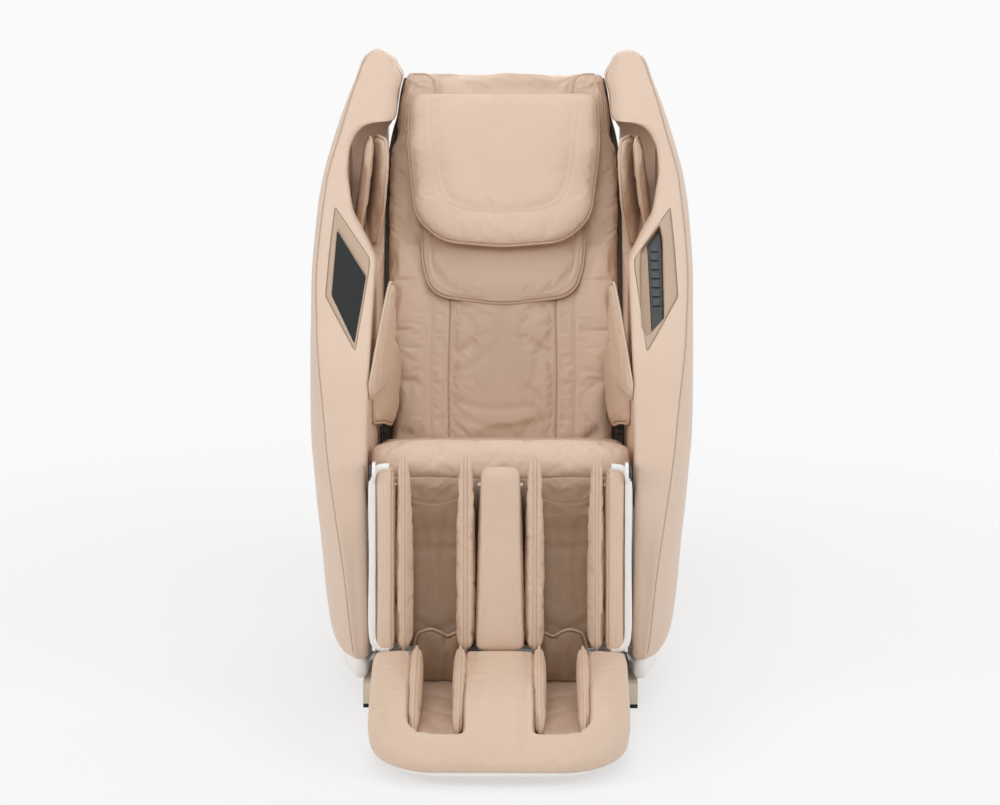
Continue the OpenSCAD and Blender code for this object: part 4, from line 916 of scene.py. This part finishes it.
HALF_ROWS = rows([(-52, 216), (-30, 224), (0, 226), (60, 228), (140, 240), (250, 243), (640, 243),
                  (668, 240), (700, 231), (760, 227), (822, 217), (842, 214), (851, 211), (856, 205)])
FACE_ROWS = rows([(-52, 47), (-40, 57.5), (-20, 67), (0, 70), (820, 70), (840, 66), (851, 56), (856, 44)])
REAR_SHELL_ROWS = rows([(24, 96), (34, 106), (90, 118), (160, 122), (625, 122), (700, 110), (780, 88),
                        (826, 68), (848, 50), (854, 36)])
SHELL_FACE = -15.7
SHELL_WALL = 4


def rear_shell_ring(z):
    h, y = HALF_ROWS(z) - 2, REAR_SHELL_ROWS(z)
    half = through([(h, SHELL_FACE), (h, y * 0.45), (h - 8, y * 0.72), (h - 34, y * 0.93), (h - 90, y),
                    (0, y)],
                   [4, 5, 5, 5, 5])
    return lifted(np.vstack([half, (half * (-1, 1))[::-1][1:]]), z)


shell_form = loft([rear_shell_ring(z) for z in levels([24, 34, 90, 160, 625, 700, 780, 826, 848, 854], 14)])
ring_count = len(rear_shell_ring(100))
shell_form.faces = [f for f in shell_form.faces if len(f) > 4 or not ({f[0] % ring_count, f[1] % ring_count}
                                                                       == {0, ring_count - 1})]
rear_shell = shell_form.placed(BACK).made("rear_shell")
m = rear_shell.modifiers.new("wall", "SOLIDIFY")
m.thickness, m.offset = SHELL_WALL * MM, -1
baked(rear_shell)
dressed(rear_shell, WHITE, 30)
carried(rear_shell, "backrest", "white_shell", "back_shell")

# Gussets fill the gaps beside the back cushion; their near-black cloth is the real fabric painted as dark
# as the shadow there
GUSSET_EDGE = rows([(-50, 252.4), (640, 252.4), (690, 247), (730, 240), (760, 232.5), (800, 228),
                    (820, 225.5), (842, 221), (850, 219)])
gusset_rings = [np.array([(HALF_ROWS(z) - 12, -20, z), (GUSSET_EDGE(z) - 2, -24, z),
                          (GUSSET_EDGE(z), -26, z), (GUSSET_EDGE(z) - 1, -29, z),
                          (HALF_ROWS(z) - 8, -30, z), (HALF_ROWS(z) - 14, -26, z)])
                for z in levels([-50, 640, 842, 850], 12)]
gusset = loft(gusset_rings).placed(BACK)
gussets = dressed((gusset + gusset.placed(MIRROR)).made("backrest_gussets"), SHADOW_DARK_GUSSET_CLOTH, 60)
carried(gussets, "backrest", "tan_liner")

# ---- backrest cushion, pillow and lumbar pad ----

ACROSS = [8, 8, 8, 3, 3, 5, 3, 3, 7, 7, 5, 5, 4, 2]


def back_ring(z):
    """Ring of the back cushion: puffed middle, two narrow channels a side, soft edges."""
    h, y = HALF_ROWS(z), -FACE_ROWS(z)
    fade = min(1.0, max(0.0, (z + 40) / 60)) * min(1.0, max(0.0, (850 - z) / 20))
    c = 3 * fade
    rear = -16 - (4 if z < 0 or z > 850 else 0)
    outer = 153 + (h - 26 - 153) / 2
    half = through([
        (0, y - c), (35, y - c), (70, y - c * 0.9), (102, y - c * 0.7), (109, y - c * 0.6),
        (116, y - c * 0.6), (139, y - c * 0.5), (146, y - c * 0.4), (153, y - c * 0.4),
        (outer, y - c * 0.5), (h - 26, y), (h - 9, y + 5), (h, y + (rear - y) * 0.42), (h - 2, rear - 4),
        (h - 8, rear)], ACROSS)
    behind = np.linspace((h - 8, rear), (-h + 8, rear), 20, endpoint=False)[1:]
    return lifted(np.vstack([half, behind, (half * (-1, 1))[::-1][:-1]]), z)


def both(points):
    """A line and its mirror image across the middle."""
    p = np.asarray(points, float)
    return p, p * ((-1,) + (1,) * (p.shape[1] - 1))


TOWARDS_BACK = (0, 1, 0)
FACE_Y = -90


def on_face(points):
    """(x, height) points on the backrest's face, as a line in its frame."""
    return [(x, FACE_Y, z) for x, z in points]


back_lines = []
for points, kind in (
    ([(110, 8), (113, 140), (111, 300), (110, 470)], "seam"),
    ([(148, 4), (153, 140), (151, 300), (149, 470)], "double"),
    ([(148, 470), (148, 700), (149, 800), (154, 828), (168, 841), (196, 843)], "piped"),
    ([(207, 818), (217, 785), (219, 745), (222, 706), (229, 684), (238, 662)], "piped"),
    ([(198, 560), (216, 584), (238, 606)], "stitch"),
    ([(188, 515), (214, 535), (240, 556)], "stitch"),
    ([(196, 455), (220, 476), (242, 498)], "stitch"),
):
    for line in both(on_face(points)):
        back_lines.append((kind, BACK, line, TOWARDS_BACK))
for points in (
    [(-98, 286), (-66, 262), (-62, 210)],
    [(6, 292), (-4, 236), (-26, 196), (-66, 168), (-104, 140)],
    [(-106, 150), (-80, 156), (-52, 172)],
    [(64, 288), (40, 252), (44, 214)],
    [(98, 232), (78, 200), (70, 150)],
    [(-92, 52), (-40, 34), (20, 32), (90, 50)],
    [(-84, 84), (-20, 70), (60, 78)],
    [(-106, 20), (-84, 2), (-40, -10)],
    [(106, 24), (92, 0), (60, -9), (30, -12)],
    [(196, 24), (170, 8), (132, 0)],
    [(-198, 22), (-176, 8), (-140, 2)],
    [(-196, 420), (-176, 380), (-170, 320)],
    [(192, 400), (178, 352), (176, 300)],
):
    back_lines.append(("fold", BACK, on_face(points), TOWARDS_BACK))

back_form = loft([back_ring(z) for z in levels([-52, -40, 0, 842, 851, 856], 4.5)]).placed(BACK)
back_cushion = back_form.made("back_cushion_cover")
held = first_pull(back_cushion, back_lines)
edge = np.array([(s * (HALF_ROWS(z) - 2), -30, z) for z in range(-48, 856, 5) for s in (-1, 1)])
rear_plane = np.array([(x, -16, z) for z in range(-40, 850, 10) for x in range(-200, 201, 10)])
PADS.append((back_cushion, 3.0, 6.0, [h * MM for h in held] + [moved(edge, BACK) * MM,
             moved(rear_plane, BACK) * MM], 0.006, 0.03))
CUSHIONS.append((back_cushion, "backrest", "back_cushion", 0.7, LEATHER))
sewn(back_cushion, "backrest", *back_lines)

PILLOW = BACK @ shift(0, -73.6, 776) @ turn(90 - 3.4)
pillow_outline = rounded([(-128, -352), (0, -364), (128, -352), (185, -298), (206, -131), (204, 0),
                          (-204, 0), (-206, -131), (-185, -298)], 34, 4)
pillow_form = puff(pillow_outline, 19, 22, 34).placed(PILLOW @ shift(0, 0, 25))
INTO_PILLOW = (0, 0, -1)
pillow_lines = [("stitch", PILLOW, [(x, y, 70) for x, y in (
    (-163, -14), (-158, -80), (-152, -150), (-143, -210), (-131, -250), (-108, -275), (-70, -287),
    (0, -292), (70, -287), (108, -275), (131, -250), (143, -210), (152, -150), (158, -80), (163, -14))],
    INTO_PILLOW)]
cushion("pillow_cover", "pillow_flap", pillow_form, pillow_lines,
        [moved(lifted(widened(pillow_outline, -2), 25), PILLOW)], "head_pillow", 0.8, voxel=4, cap=4,
        swell=2, slack=0.008)

LUMBAR = BACK @ shift(0, -73.3, 0) @ turn(90)
lumbar_outline = rounded([(-150, 319), (0, 299), (150, 319), (174, 395), (172, 495), (-172, 495),
                          (-174, 395)], 40, 4)
lumbar_form = puff(lumbar_outline, 11, 4, 14).placed(LUMBAR @ shift(0, 0, 5))
lumbar_seam = [(x * 0.93, 397 + (y - 397) * 0.88, 40) for x, y in
               [(-172, 480), (-174, 400), (-160, 345), (-125, 316), (-70, 304), (0, 301), (70, 304),
                (125, 316), (160, 345), (174, 400), (172, 480)]]
cushion("lumbar_pad_cover", "pillow_flap", lumbar_form, [("stitch", LUMBAR, lumbar_seam, INTO_PILLOW)],
        [moved(lifted(widened(lumbar_outline, -2), 6), LUMBAR)], "back_pad", 0.6, voxel=4, cap=3.5, swell=2,
        slack=0.012)

# ---- seat cushion ----

SEAT_HALF = 245


def seat_low(y):
    return 424 + (340 - 424) * (y + 235) / (134 + 235)


def seat_profile(rise):
    top = 499
    return [(-238, seat_low(-238)), (-262, 431), (-273, 448), (-273, top - 28),
            (-265, top - 11 + rise * 0.5), (-248, top - 1 + rise), (-222, top - 1 + rise),
            (-164, top - 20 + rise), (-90, 458 + rise), (0, 437 + rise), (70, 426 + rise),
            (108, 414 + rise), (126, 404), (133, 388), (134, 365), (132, seat_low(132)), (0, seat_low(0)),
            (-120, seat_low(-120))]


seat_rings = []
for share in np.concatenate([-np.cos(np.linspace(0, math.pi, 41))]):
    bulge = (1 - abs(share) ** 6) ** (1 / 3)
    profile = through(seat_profile(6 * bulge), 4, closed=True)
    middle = profile.mean(0)
    drawn = middle + (profile - middle) * (0.86 + 0.14 * bulge)
    seat_rings.append(np.column_stack([np.full(len(drawn), share * SEAT_HALF), drawn]))
DOWN = (0, 0, -1)
seat_lines = [
    ("seam", HERE, [(x, -330, 450 - 1.5 * math.cos(x / 70)) for x in range(-232, 233, 29)], TOWARDS_BACK),
    ("seam", HERE, [(x, -164 + abs(x) * 0.03, 600) for x in range(-236, 237, 59)], DOWN),
    ("fold", HERE, [(-150, 90, 600), (-90, 100, 600), (-30, 96, 600)], DOWN),
    ("fold", HERE, [(40, 104, 600), (110, 92, 600), (190, 96, 600)], DOWN),
    ("fold", HERE, [(-220, 60, 600), (-180, 84, 600), (-150, 112, 600)], DOWN),
]
cushion("seat_cover", "chassis", loft(seat_rings), seat_lines, [], "seat_cushion", 0.75, voxel=6, cap=7,
        swell=3.5)

# ---- calf unit ----

calf_profile = rounded([(-15.5, -334), (84.5, -334), (84.5, -106), (19, -26), (14, 9), (-6.5, 15),
                        (-15.5, -4)], 9, 4)
for word, points in (
    ("left", [(-218.4, 4), (-218.4, -200), (-216, -318)]),
    ("right", [(218.4, 4), (218.4, -200), (216, -318)]),
    ("centre", None),
):
    node = f"calf_{word}_block"
    x0, x1 = (c.x * 1000 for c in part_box(node))
    rings = []
    for share in -np.cos(np.linspace(0, math.pi, 17 if points else 27)):
        bulge = (1 - abs(share) ** 4) ** 0.5
        ring = widened(calf_profile, -11 * (1 - bulge))
        flare = 1 if points else np.interp(ring[:, 1], (-300, -40), (1.12, 0.92))
        rings.append(np.column_stack([(x0 + x1) / 2 + share * (x1 - x0) / 2 * flare * np.ones(len(ring)),
                                      ring]))
    stitched = [points] if points else [[(s * 29, 4), (s * 30, -200), (s * 37, -322)] for s in (-1, 1)]
    kind = "double" if points else "stitch"
    lines = [(kind, LEG, [(x, -40, z) for x, z in row], TOWARDS_BACK) for row in stitched]
    edges = []
    if points:
        x = x1 - 3.5 if word == "left" else x0 + 3.5
        edges.append(("piped", LEG, [(x, -40, 2), (x, -40, -100), (x, -40, -200), (x, -40, -322)],
                      TOWARDS_BACK))
    cushion(f"calf_{word}_cover", "leg_rest", loft(rings).placed(LEG), lines + edges, [], node, 0.8,
            voxel=4,
            cap=2.5, swell=1.5, slack=0.002)

FIN = [(-14.5, -326), (-3.5, -334), (60, -332), (60, -130), (27.4, -50), (12, 8), (-3, 36), (-15.5, 14)]
fin_outline = rounded(FIN, 7, 3)
for side, word in ((-1, "left"), (1, "right")):
    for x, thick, place in ((65, 40, "inner"), (181.5, 34, "outer")):
        matrix = LEG @ shift(side * x) @ WALL
        cushion(f"{word}_{place}_calf_fin", "leg_rest",
                puff(fin_outline, thick * 0.42, thick * 0.42, 30, 0.1).placed(matrix),
                [], [moved(lifted(fin_outline, 0), matrix)],
                "calf_fins" if (side, place) == (-1, "inner") else None, 0.75, voxel=4, cap=3.5, swell=2.5)
    lining = rounded([(-4, -10), (4, -26), (18, -48), (40, -80), (57, -112), (64, -220), (64, -333),
                      (83.5, -333), (83.5, -106), (19.5, -26), (10, -6)], 6, 4)
    rings = []
    for share in -np.cos(np.linspace(0, math.pi, 31)):
        ring = widened(lining, -5 * (1 - (1 - abs(share) ** 6) ** 0.5))
        rings.append(np.column_stack([np.full(len(ring), side * (119.2 + share * 78.1)), ring]))
    rim = ((54, -46), (80, -50), (105, -57), (128, -60), (150, -57), (172, -50), (192, -46))
    lines = [("double", LEG, [(side * x, -60, z) for x, z in rim], TOWARDS_BACK)]
    lines += [("fold", LEG, [(side * x, -60, z) for x, z in row], TOWARDS_BACK) for row in (
        [(90, -24), (112, -38), (136, -32)], [(116, -12), (138, -26), (160, -34)],
        [(88, -8), (104, -22), (112, -42)], [(100, -80), (110, -170), (104, -250)],
        [(150, -90), (142, -180), (148, -260)], [(88, -292), (120, -302), (160, -288)])]
    cushion(f"{word}_channel_liner", "leg_rest", loft(rings).placed(LEG), lines, [],
            "calf_pads" if side < 0 else None, 0.55, LINER, voxel=4.5, cap=5, swell=3)

trim_path = through([(208, 13), (224, 12), (235, 6), (239.6, -8), (240, -160), (239.6, -308), (235, -322),
                     (224, -329), (208, -330)], 6)
trim = tube(spaced(np.column_stack([trim_path[:, 0], np.full(len(trim_path), -8.0), trim_path[:, 1]]), 5),
            6.6, sides=12).placed(LEG)
trims = dressed((trim + trim.placed(MIRROR)).made("calf_edge_trims"), WHITE, 180)
carried(trims, "leg_rest", "white_shell")

# ---- foot unit ----

TOE_Y = -713
WELL_HALF = 52
HEM = 9.5
TOE_ROWS = rows([(24.5, -699), (31, -711), (42, -710), (70, -688), (100, -638), (128, -568), (145, -478),
                 (149, -438), (151, -421)])
HEEL_ROWS = rows([(24.5, -310), (34, -308), (108, -308), (114, -316), (140, -402), (151, -408)])


def foot_ring(z, grow=0.0, drop=0.0):
    """Ring of the foot unit: its toe corners round off more the nearer they are to the floor."""
    f, b = TOE_ROWS(z + drop) - grow * 0.4, HEEL_ROWS(z) - grow * 0.6
    h = 231 + grow - (5 if z > 150 else 1.5 if z > 147 else 0)
    low = min(1.0, max(0.0, (105 - z) / 75))
    rx, ry = min(82 + 50 * low + drop * 0.6, (b - f) * 0.6), min(70 + 78 * low + drop * 0.9, (b - f) * 0.8)
    a = np.radians(np.linspace(0, 90, 19))
    arc = np.column_stack([h - rx * (1 - np.sin(a)), f + ry * (1 - np.cos(a)) - 0.3 * np.cos(a)])
    half = np.vstack([np.linspace((0, f - 0.6), arc[0], 8, endpoint=False), arc[:-1],
                      np.linspace(arc[-1], (h, b), 8, endpoint=False), np.linspace((h, b), (0, b), 8)])
    return lifted(np.vstack([half, (half * (-1, 1))[::-1][1:-1]]), z)


def well(half, inset=0.0, heel=-320.0):
    """Corners of the right foot well, rounded at the toes."""
    return [(114 - half, TOE_Y + 48 + inset), (114 + half * 0.6, TOE_Y + 55 + inset),
            (114 + half, TOE_Y + 76 + inset), (114 + half, heel), (114 - half, heel)]


foot_form = loft([foot_ring(z, 3.5) for z in levels([24.5, 31, 42, 70, 100, 128, 145, 149, 151], 6)])
foot_lines = []
for hand in (HERE, MIRROR):
    border = rounded(well(WELL_HALF + HEM, -HEM, -300), 16 + HEM, 3)
    start = int(np.argmax(border[:, 1] + border[:, 0] * 0.001))
    border = np.roll(border, -start, axis=0)
    border = border[border[:, 1] < -424]
    order = np.argsort(np.arctan2(border[:, 0] - 114, -(border[:, 1] + 424)))
    foot_lines.append(("double", hand, lifted(border[order][::4], 220), DOWN))
cover = foot_form.made("foot_cover_leather")
wells = [prism(rounded(well(WELL_HALF), 14, 3), 50, 250).placed(hand) for hand in (HERE, MIRROR)]
cut(cover, *wells)
m = cover.modifiers.new("cells", "REMESH")
m.mode, m.voxel_size = "VOXEL", 0.005
baked(cover)
m = cover.modifiers.new("even", "SMOOTH")
m.factor, m.iterations = 0.5, 3
baked(cover)
held = first_pull(cover, foot_lines)
floor_edge = np.array([(x, y, z) for x, y, z in foot_ring(31, 3.5)])
PADS.append((cover, 2.5, 3.5, [h * MM for h in held] + [floor_edge * MM], 0.006, 0.01))
CUSHIONS.append((cover, "foot_rest", "foot_cover", 0.8, LEATHER))
sewn(cover, "foot_rest", *foot_lines)

tray = loft([foot_ring(z, grow, 17) for z, grow in ((22, 1), (23, 3), (26, 4.5), (40, 5.5), (60, 6),
                                                    (80, 6), (100, 6), (115, 6), (126, 5.5),
                                                    (128, 4))]).made("foot_tray")
cut(tray, *[prism(widened(rounded(well(WELL_HALF), 14, 3), 0.8), 49.6, 250).placed(hand) for hand in (HERE,
        MIRROR)])
dressed(tray, WHITE, 35)
bar = shown("heel_bar", NODES["foot_housing"].data.copy())
sheet = bmesh.new()
sheet.from_mesh(bar.data)
bmesh.ops.remove_doubles(sheet, verts=sheet.verts, dist=1e-6)
sheet.to_mesh(bar.data)
sheet.free()
cut(bar, prism(np.array([(-300, -760), (300, -760), (300, -309), (-300, -309)]), -10, 200))
dressed(bar, WHITE, 30)
carried(bar, "foot_rest", "white_shell")
carried(tray, "foot_rest", "white_shell", "foot_housing")

foot_fin = rounded([(-641, 76), (-613, 64), (-406, 64), (-406, 156), (-428, 167), (-513, 153), (-617, 110)],
                   10, 3)
for side, word in ((-1, "left"), (1, "right")):
    for s, place in ((-1, "inner"), (1, "outer")):
        matrix = shift(side * (114 + s * 40.7)) @ WALL
        cushion(f"{word}_{place}_foot_fin", "foot_rest", puff(foot_fin, 10, 10, 20, 0.1).placed(matrix), [],
                [moved(lifted(foot_fin, 0), matrix)], "foot_fins" if (side, s) == (-1, -1) else None, 0.7,
                voxel=3.5,
                cap=3, swell=2.5)
    hand = HERE if side > 0 else MIRROR
    sole = rounded(well(49, 5, -324), 14, 4)
    folds = [("fold", hand, [(x, y, 120) for x, y in row], DOWN) for row in (
        [(90, -610), (118, -570), (140, -520)], [(84, -520), (116, -500), (146, -470)],
        [(96, -430), (124, -410), (150, -420)], [(112, -660), (108, -620), (96, -580)])]
    cushion(f"{word}_sole_pad", "foot_rest", puff(sole, 10, 1.5, 12).placed(hand @ shift(0, 0, 51.5)),
            folds, [],
            "sole_pads" if side < 0 else None, 0.5, voxel=4, cap=5, swell=3.5)
    arch = rounded([(50, 58), (51, 130), (44, 158), (18, 167), (-4, 158), (-13, 149), (-22, 156),
                    (-36, 161), (-47, 150), (-50, 126), (-50, 58)], 9, 3)
    matrix = hand @ shift(114, -321) @ FRONT
    folds = [("fold", matrix, [(x, y, 60) for x, y in row], INTO_PILLOW) for row in (
        [(-13, 146), (-14, 110), (-6, 66)], [(30, 150), (18, 116), (26, 70)],
        [(-38, 146), (-34, 100), (-40, 66)], [(8, 152), (2, 120), (8, 84)])]
    cushion(f"{word}_heel_liner", "foot_rest", puff(arch, 11, 3, 16).placed(matrix @ shift(0, 0, 3)), folds,
            [moved(lifted(arch, 4), matrix)], None, 0.6, LINER, voxel=3.5, cap=4, swell=4)

# ---- shoulder and arm pads ----

SHOULDER = rounded([(34, 0), (122, 0), (112, 122), (124, 207), (100, 228), (22, 228), (2, 182), (0, 92)],
                   16, 3)
UPPER_ARM = rounded([(0, 585), (184, 568), (240, 586), (284, 664), (302, 748), (254, 766), (200, 740),
                     (100, 680), (0, 616)], 14, 4)
LOWER_ARM = rounded([(0, 512), (120, 484), (204, 457), (251, 467), (300, 518), (340, 571), (218, 645),
                     (165, 604), (0, 570)], 16, 4)
for side, word in ((-1, "left"), (1, "right")):
    hand = HERE if side > 0 else MIRROR
    for name, outline, place, thick, node in (
        ("inner_shoulder_pad", SHOULDER, shift(256, 340, 778) @ turn(0, -5, -19), 13, "shoulder"),
        ("outer_shoulder_pad", SHOULDER, shift(304, 340, 778) @ turn(0, -8, -7), 13, None),
        ("upper_arm_pad", UPPER_ARM, shift(249.8, -205) @ turn(0, 0, 6.2), 12.5, "arm"),
        ("lower_arm_pad", LOWER_ARM, shift(250.2, -100) @ turn(0, 0, 6.6), 12.5, None),
    ):
        matrix = hand @ place @ WALL
        cushion(f"{word}_{name}", "chassis", puff(outline, thick / 2, thick / 2, 11, 0.1).placed(matrix),
                [], [moved(lifted(outline, 0), matrix)], f"{word}_{node}_pads" if node else None, 0.6,
                voxel=4, cap=3.5,
                swell=2.5)

# ---- inflate, sew and dress ----

inflate()
sew_all()
for piece, body, node, fill, material in CUSHIONS:
    dressed(piece, material, 180)
    carried(piece, body, "tan_liner" if material is LINER else "beige_leather", *([node] if node else []),
            fill=fill)

for body, pipes in PIPES.items():
    form = None
    for path, radius, closed in pipes:
        line = tube(spaced(path * 1000, 4, closed), radius, closed)
        form = line if form is None else form + line
    piping = dressed(form.made(body + "_piping"), PIPING, 180)
    carried(piping, body, "beige_leather")


def stitch_tree():
    """Lays a short thread at every pitch along the edges it is given, sunk half way in."""
    tree = bpy.data.node_groups.new("Stitches along seams", "GeometryNodeTree")
    tree.interface.new_socket("Seams", in_out="INPUT", socket_type="NodeSocketGeometry")
    for name, kind, value in (("Pitch", "NodeSocketFloat", 0.0042),
                              ("Thread length", "NodeSocketFloat", 0.003),
                              ("Thread radius", "NodeSocketFloat", 0.00045)):
        tree.interface.new_socket(name, in_out="INPUT", socket_type=kind).default_value = value
    tree.interface.new_socket("Finish", in_out="INPUT", socket_type="NodeSocketMaterial")
    tree.interface.new_socket("Stitches", in_out="OUTPUT", socket_type="NodeSocketGeometry")
    add = tree.nodes.new
    source, out = add("NodeGroupInput"), add("NodeGroupOutput")
    curve, points = add("GeometryNodeMeshToCurve"), add("GeometryNodeResampleCurve")
    points.mode = "LENGTH"
    thread = add("GeometryNodeMeshUVSphere")
    thread.inputs["Segments"].default_value, thread.inputs["Rings"].default_value = 6, 4
    thread.inputs["Radius"].default_value = 0.5
    size = add("ShaderNodeCombineXYZ")
    double = add("ShaderNodeMath")
    double.operation = "MULTIPLY"
    double.inputs[1].default_value = 2.0
    tangent, facing = add("GeometryNodeInputTangent"), add("GeometryNodeInputNamedAttribute")
    facing.data_type = "FLOAT_VECTOR"
    facing.inputs["Name"].default_value = "facing"
    along, up = add("FunctionNodeAlignRotationToVector"), add("FunctionNodeAlignRotationToVector")
    along.axis, up.axis, up.pivot_axis = "X", "Z", "X"
    place, real = add("GeometryNodeInstanceOnPoints"), add("GeometryNodeRealizeInstances")
    finish = add("GeometryNodeSetMaterial")
    for giver, taken, taker, place_in in (
        (source, "Seams", curve, 0), (curve, 0, points, "Curve"), (source, "Pitch", points, "Length"),
        (source, "Thread radius", double, 0), (source, "Thread length", size, "X"), (double, 0, size, "Y"),
        (double, 0, size, "Z"), (tangent, 0, along, "Vector"), (along, 0, up, "Rotation"),
        (facing, "Attribute", up, "Vector"), (points, 0, place, "Points"),
        (thread, "Mesh", place, "Instance"), (up, 0, place, "Rotation"), (size, 0, place, "Scale"),
        (place, 0, real, 0), (real, 0, finish, "Geometry"), (source, "Finish", finish, "Material"),
        (finish, 0, out, 0),
    ):
        tree.links.new(giver.outputs[taken], taker.inputs[place_in])
    return tree


def socket(tree, name):
    return next(s.identifier for s in tree.interface.items_tree if s.name == name and s.in_out == "INPUT")


STITCHES = stitch_tree()
for body, seams in THREADS.items():
    seams = [s for s in seams if s is not None]
    points, edges, facing = [], [], []
    for seam in seams:
        n = sum(len(p) for p in points)
        points.append(seam.points)
        facing.append(seam.normals)
        gaps = np.linalg.norm(np.diff(seam.points, axis=0), axis=1)
        edges += [(n + k, n + k + 1) for k in range(len(seam.points) - 1) if gaps[k] < 0.008]
    mesh = bpy.data.meshes.new(body + "_stitches")
    mesh.from_pydata(np.vstack(points).tolist(), edges, [])
    outward = mesh.attributes.new("facing", "FLOAT_VECTOR", "POINT")
    outward.data.foreach_set("vector", np.vstack(facing).astype(np.float32).ravel())
    piece = shown(body + "_stitches", mesh)
    m = piece.modifiers.new("stitches", "NODES")
    m.node_group = STITCHES
    m[socket(STITCHES, "Finish")] = THREAD
    baked(piece)
    carried(piece, body, "beige_leather")

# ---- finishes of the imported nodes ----

BY_SLOT = {"frame_steel": STEEL, "bare_steel": BARE_STEEL, "pump_alloy": ALLOY, "beige_leather": LEATHER,
           "white_shell": WHITE, "rose_trim": ROSE, "dark_panel": DARK_PANEL,
           "black_plastic": BLACK_PLASTIC,
           "key_plastic": KEY_PLASTIC, "tan_liner": LINER, "black_rubber": RUBBER,
           "roller_rubber": ROLLER_RUBBER}
for row in frame["record"]["subparts"]:
    node = NODES.get(row["node"])
    if node is not None:
        node.data.materials.clear()
        coat = CREAM_STEEL if row["node"] == "base_frame" else BY_SLOT[row["material_slot"]]
        node.data.materials.append(coat)

# ---- floor, backdrop and light ----


def lamp(name, where, target, size, power, colour=(1, 1, 1)):
    data = bpy.data.lights.new(name, "AREA")
    data.shape, data.size, data.energy, data.color = "DISK", size, power, colour
    light = shown(name, data)
    light.location = where
    light.rotation_euler = (Vector(target) - Vector(where)).to_track_quat("-Z", "Y").to_euler()


lamp("left", (-4.2, -2.0, 2.4), (0, 0, 0.6), 2.6, 74, (1.0, 0.99, 0.97))
lamp("right", (4.2, -2.0, 2.4), (0, 0, 0.6), 2.6, 74, (0.98, 0.99, 1.0))
lamp("front", (-0.6, -4.2, 3.6), (0, 0, 0.6), 2.2, 42)
lamp("top", (0, 0.4, 4.0), (0, 0.1, 0.5), 3.0, 36)
lamp("rear", (0.6, 3.4, 2.6), (0, 0.3, 0.7), 2.4, 30)

floor_mesh = bpy.data.meshes.new("floor")
floor_mesh.from_pydata([(-20, -20, 0), (20, -20, 0), (20, 30, 0), (-20, 30, 0)], [], [(0, 1, 2, 3)])
floor = shown("floor", floor_mesh)
paper = Finish("white paper floor")
paper.surface(Base_Color=paper.blend(paper.cloud(2.0, 2), tone(240, 240, 240), tone(244, 244, 244)),
              Roughness=0.7)
rays = paper.node("ShaderNodeLightPath")
far = paper.node("ShaderNodeVectorMath", {"operation": "LENGTH"}, i0=paper.place)["Value"]
seen = paper.sum("MAXIMUM", rays["Is Camera Ray"], rays["Is Glossy Ray"]) * (0.62 + 0.38 * paper.clear(far,
        0.7, 2.2))
glow = paper.node("ShaderNodeEmission", Color=tone(250, 250, 250))["Emission"]
sheet = paper.node("ShaderNodeMixShader", i0=seen, i1=Wire(paper, paper.shader.outputs[0]),
                   i2=glow)["Shader"]
paper.tree.links.new(sheet.socket, paper.tree.nodes["Material Output"].inputs["Surface"])
floor_mesh.materials.append(paper.material)

world = bpy.data.worlds.new("studio")
SCENE.world = world
world.use_nodes = True
studio = world.node_tree
sky, rays = studio.nodes["Background"], studio.nodes.new("ShaderNodeLightPath")
seen, mixer = studio.nodes.new("ShaderNodeBackground"), studio.nodes.new("ShaderNodeMixShader")
most = studio.nodes.new("ShaderNodeMath")
most.operation = "MAXIMUM"
sky.inputs["Color"].default_value, sky.inputs["Strength"].default_value = (1, 1, 1, 1), 0.38
seen.inputs["Color"].default_value, seen.inputs["Strength"].default_value = tone(250, 250, 250), 1.0
for giver, taker in (
    (rays.outputs["Is Camera Ray"], most.inputs[0]), (rays.outputs["Is Glossy Ray"], most.inputs[1]),
    (most.outputs[0], mixer.inputs[0]), (sky.outputs[0], mixer.inputs[1]),
    (seen.outputs[0], mixer.inputs[2]), (mixer.outputs[0], studio.nodes["World Output"].inputs[0]),
):
    studio.links.new(giver, taker)
